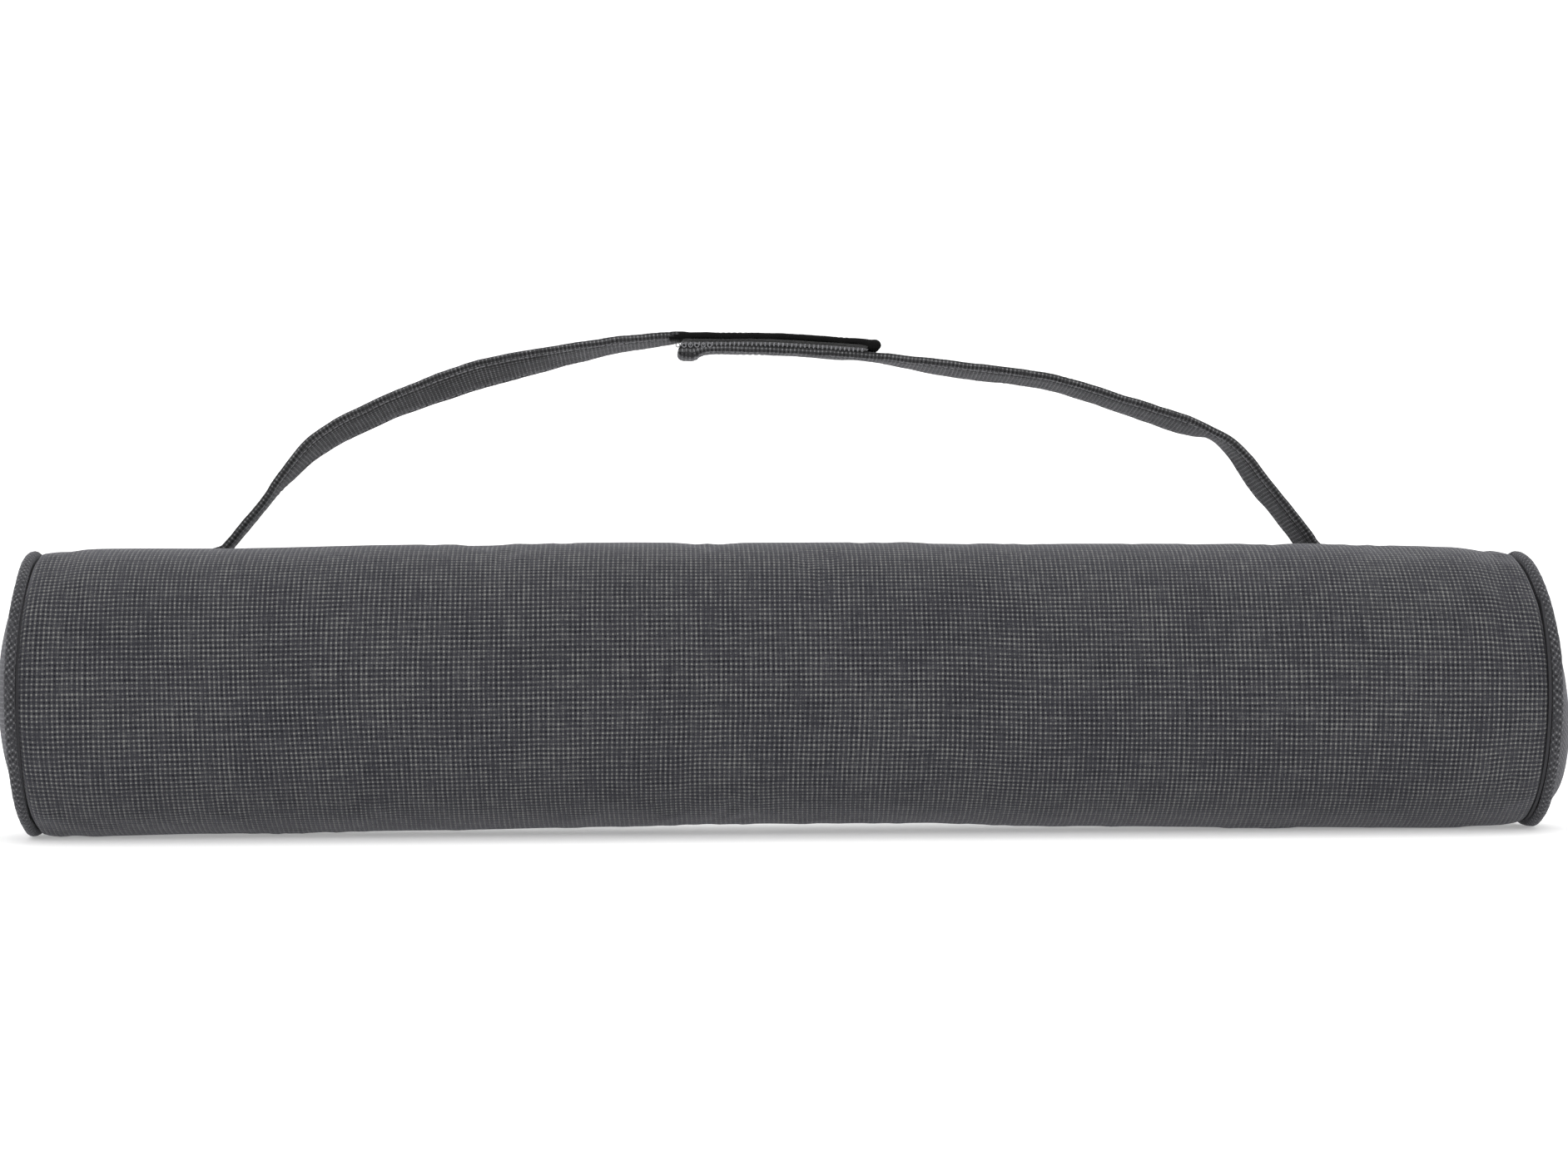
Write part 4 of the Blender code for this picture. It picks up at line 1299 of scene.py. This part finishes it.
def make_tongue():
    """The black tape sewn to the left half: flat over the closure, its free end folded under and rolled."""
    half = TONGUE / 2
    wrap = closure_stations(0.2 * MM, half + 0.7 * MM, CLOSURE_LEFT - 1.5 * MM, CLOSURE_LEFT + 3.5 * MM, 2)
    flat = closure_stations(0, half + 0.1 * MM, CLOSURE_LEFT + 8 * MM, CLOSURE_RIGHT - 8 * MM, 8)
    roll = closure_stations(1.3 * MM, half + 1.2 * MM, CLOSURE_RIGHT - 3.2 * MM, CLOSURE_RIGHT + 1.2 * MM, 3)
    band = Band([*wrap, *flat, *roll], STRAP_WIDTH, (0.8 * MM, 2.6 * MM))
    piece = make_band("tongue_tape", band, black_tape, "hook_tape", puff=0.15 * MM, seam=0.2 * MM, seed=6)
    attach(piece, "left_strap_half")
    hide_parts("hook_tongue")
    last = band.length - 9 * MM
    stitches = strap_stitches(
        "tongue_stitches", band, 3 * MM, last, (1,), "left_strap_half", black_thread, 2.4 * MM
    )


PAD_REACH = 3 * MM  # how far each mat runs past the frame's plain pad, into the folds at both ends


def make_pads():
    """The hook pad under the tongue and the loop pad on the right half, each sewn down along its edges."""
    for word, drop, material, slot, body in (
        ("hook", HOOK_DROP, hook_mat, "hook_tape", "left_strap_half"),
        ("loop", LOOP_DROP, loop_mat, "loop_tape", "right_strap_half"),
    ):
        low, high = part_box(word + "_pad")
        line = closure_stations(drop, PAD / 2 + 0.1 * MM, low.x - PAD_REACH, high.x + PAD_REACH, 8)
        band = Band(line, high.y - low.y)
        piece = make_band(word + "_mat", band, material, slot, puff=0.05 * MM, seam=0.0, seed=8)
        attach(piece, body)
        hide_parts(word + "_pad")


def make_overcast():
    """The overcast row that sews the loop pad to the strap's near and far edges: short upright stitches."""
    start, end = CLOSURE_LEFT + 3 * MM, CLOSURE_RIGHT - 6 * MM
    x = spaced(start, end, 1.9 * MM)
    line = np.array(closure_stations(LOOP_DROP + 0.35 * MM, 0, start, end, 40))
    z = np.interp(x, line[:, 0], line[:, 2])
    up = np.tile([0.12, 0.0, 1.0], (len(x), 1))
    rows = []
    for side in (-1, 1):
        y = STRAP_Y + side * (STRAP_WIDTH / 2 - 0.1 * MM) + 0 * x
        rows.append((np.stack([x, y, z], -1), up, np.tile([0.0, side, 0.0], (len(x), 1))))
    piece = sewn("overcast_stitches", (1.9 * MM, 0.75 * MM, 0.7 * MM), rows)
    dress(piece, pale_thread, "loop_tape")
    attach(piece, "right_strap_half")


def make_bartack():
    """Small loops of thread close together, where the loop pad's sewing was run back over its start."""
    x = CLOSURE_LEFT + 2.4 * MM + 2.7 * MM * np.arange(6)
    line = np.array(closure_stations(LOOP_DROP + 0.9 * MM, 0, x[0], x[-1], 8))
    z = np.interp(x, line[:, 0], line[:, 2])
    deselect()
    bpy.ops.mesh.primitive_torus_add(
        major_segments=14, minor_segments=6, major_radius=0.85 * MM, minor_radius=0.22 * MM
    )
    ring = bpy.context.object
    places = np.stack([x, STRAP_Y - STRAP_WIDTH / 2 - 0.15 * MM + 0 * x, z], -1)
    along = np.tile([1.0, 0, 0.1], (len(x), 1))
    out = np.tile([0.0, -1, 0], (len(x), 1))
    piece = repeat("bartack_loops", ring, places, along, out)
    dress(piece, pale_thread, "loop_tape")
    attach(piece, "right_strap_half")


# ---------------------------------------------------------------- stage, light and camera


def make_stage():
    """A pale floor that curves up into a backdrop far behind."""
    deselect()
    bpy.ops.mesh.primitive_grid_add(x_subdivisions=2, y_subdivisions=120, size=1, calc_uvs=False)
    sweep = bpy.context.object
    sweep.name = "stage_sweep"
    flat = points_of(sweep)
    near, floor_end, bend, length, width = -10.0, 2.2, 1.2, 15.0, 24.0
    reach = (flat[:, 1] + 0.5) * length + near
    turn = np.clip((reach - floor_end) / bend, 0, math.pi / 2)
    beyond = np.maximum(reach - floor_end - bend * math.pi / 2, 0)
    y = np.minimum(reach, floor_end) + bend * np.sin(turn)
    z = bend * (1 - np.cos(turn)) + beyond
    set_points(sweep, np.stack([flat[:, 0] * width, y, z], -1))
    smooth(sweep, 60)
    material, shader = new_material("pale_paper", 0.9)
    place = add(material, "TexCoord").outputs["Object"]
    grain = mottle(material, place, 1 / 3, 4.0)
    paint(material, shader, grain, (0.3, "F4F4F4"), (0.7, "F8F8F8"))
    shader.inputs["Emission Color"].default_value = (1, 1, 1, 1)
    shader.inputs["Emission Strength"].default_value = 0.32
    sweep.data.materials.append(material)


def make_light(name, place, size, power, target=(0, 0, 0.06)):
    data = bpy.data.lights.new(name, "AREA")
    data.shape = "RECTANGLE"
    data.size, data.size_y = size
    data.energy = power
    light = bpy.data.objects.new(name, data)
    bpy.context.scene.collection.objects.link(light)
    light.location = place
    light.rotation_euler = (Vector(target) - Vector(place)).to_track_quat("-Z", "Y").to_euler()


def make_lights():
    world = bpy.data.worlds.new("soft_room")
    bpy.context.scene.world = world
    world.use_nodes = True
    background = world.node_tree.nodes["Background"]
    background.inputs["Color"].default_value = (1, 1, 1, 1)
    background.inputs["Strength"].default_value = 0.85
    make_light("overhead", (0.2, 0.3, 2.4), (3.0, 2.0), 25)
    make_light("front", (-0.5, -2.3, 1.9), (3.0, 1.6), 11.5)


def make_camera():
    data = bpy.data.cameras.new("camera")
    data.sensor_width = 36
    data.lens = 85.8
    data.clip_end = 30
    camera = bpy.data.objects.new("camera", data)
    bpy.context.scene.collection.objects.link(camera)
    camera.location = (-0.072, -1.5765, 0.1027)
    look = Vector((0, 0, camera.location.z)) - camera.location
    roll = Matrix.Rotation(math.radians(-0.23), 3, "Z")
    camera.rotation_euler = (look.to_track_quat("-Z", "Y").to_matrix() @ roll).to_euler()
    bpy.context.scene.camera = camera


# ---------------------------------------------------------------- the bag

bpy.context.scene.view_settings.view_transform = "Standard"
make_camera()
make_stage()
make_lights()
stuff_cover()
make_padding()
make_cover()
for side, word in ((-1, "upper"), (1, "lower")):
    make_facing(side, word)
    make_tape(side, word)
    make_coil(side, word)
    make_topstitch(side, word)
make_slider()
make_pull()
make_stops()
for side, word in ((-1, "left"), (1, "right")):
    make_piping(side, word)
    make_seam_flange(side, word)
    make_end_panel(side, word)
finish_hidden_nodes()
make_left_half()
make_right_half()
make_tongue()
make_pads()
make_overcast()
make_bartack()
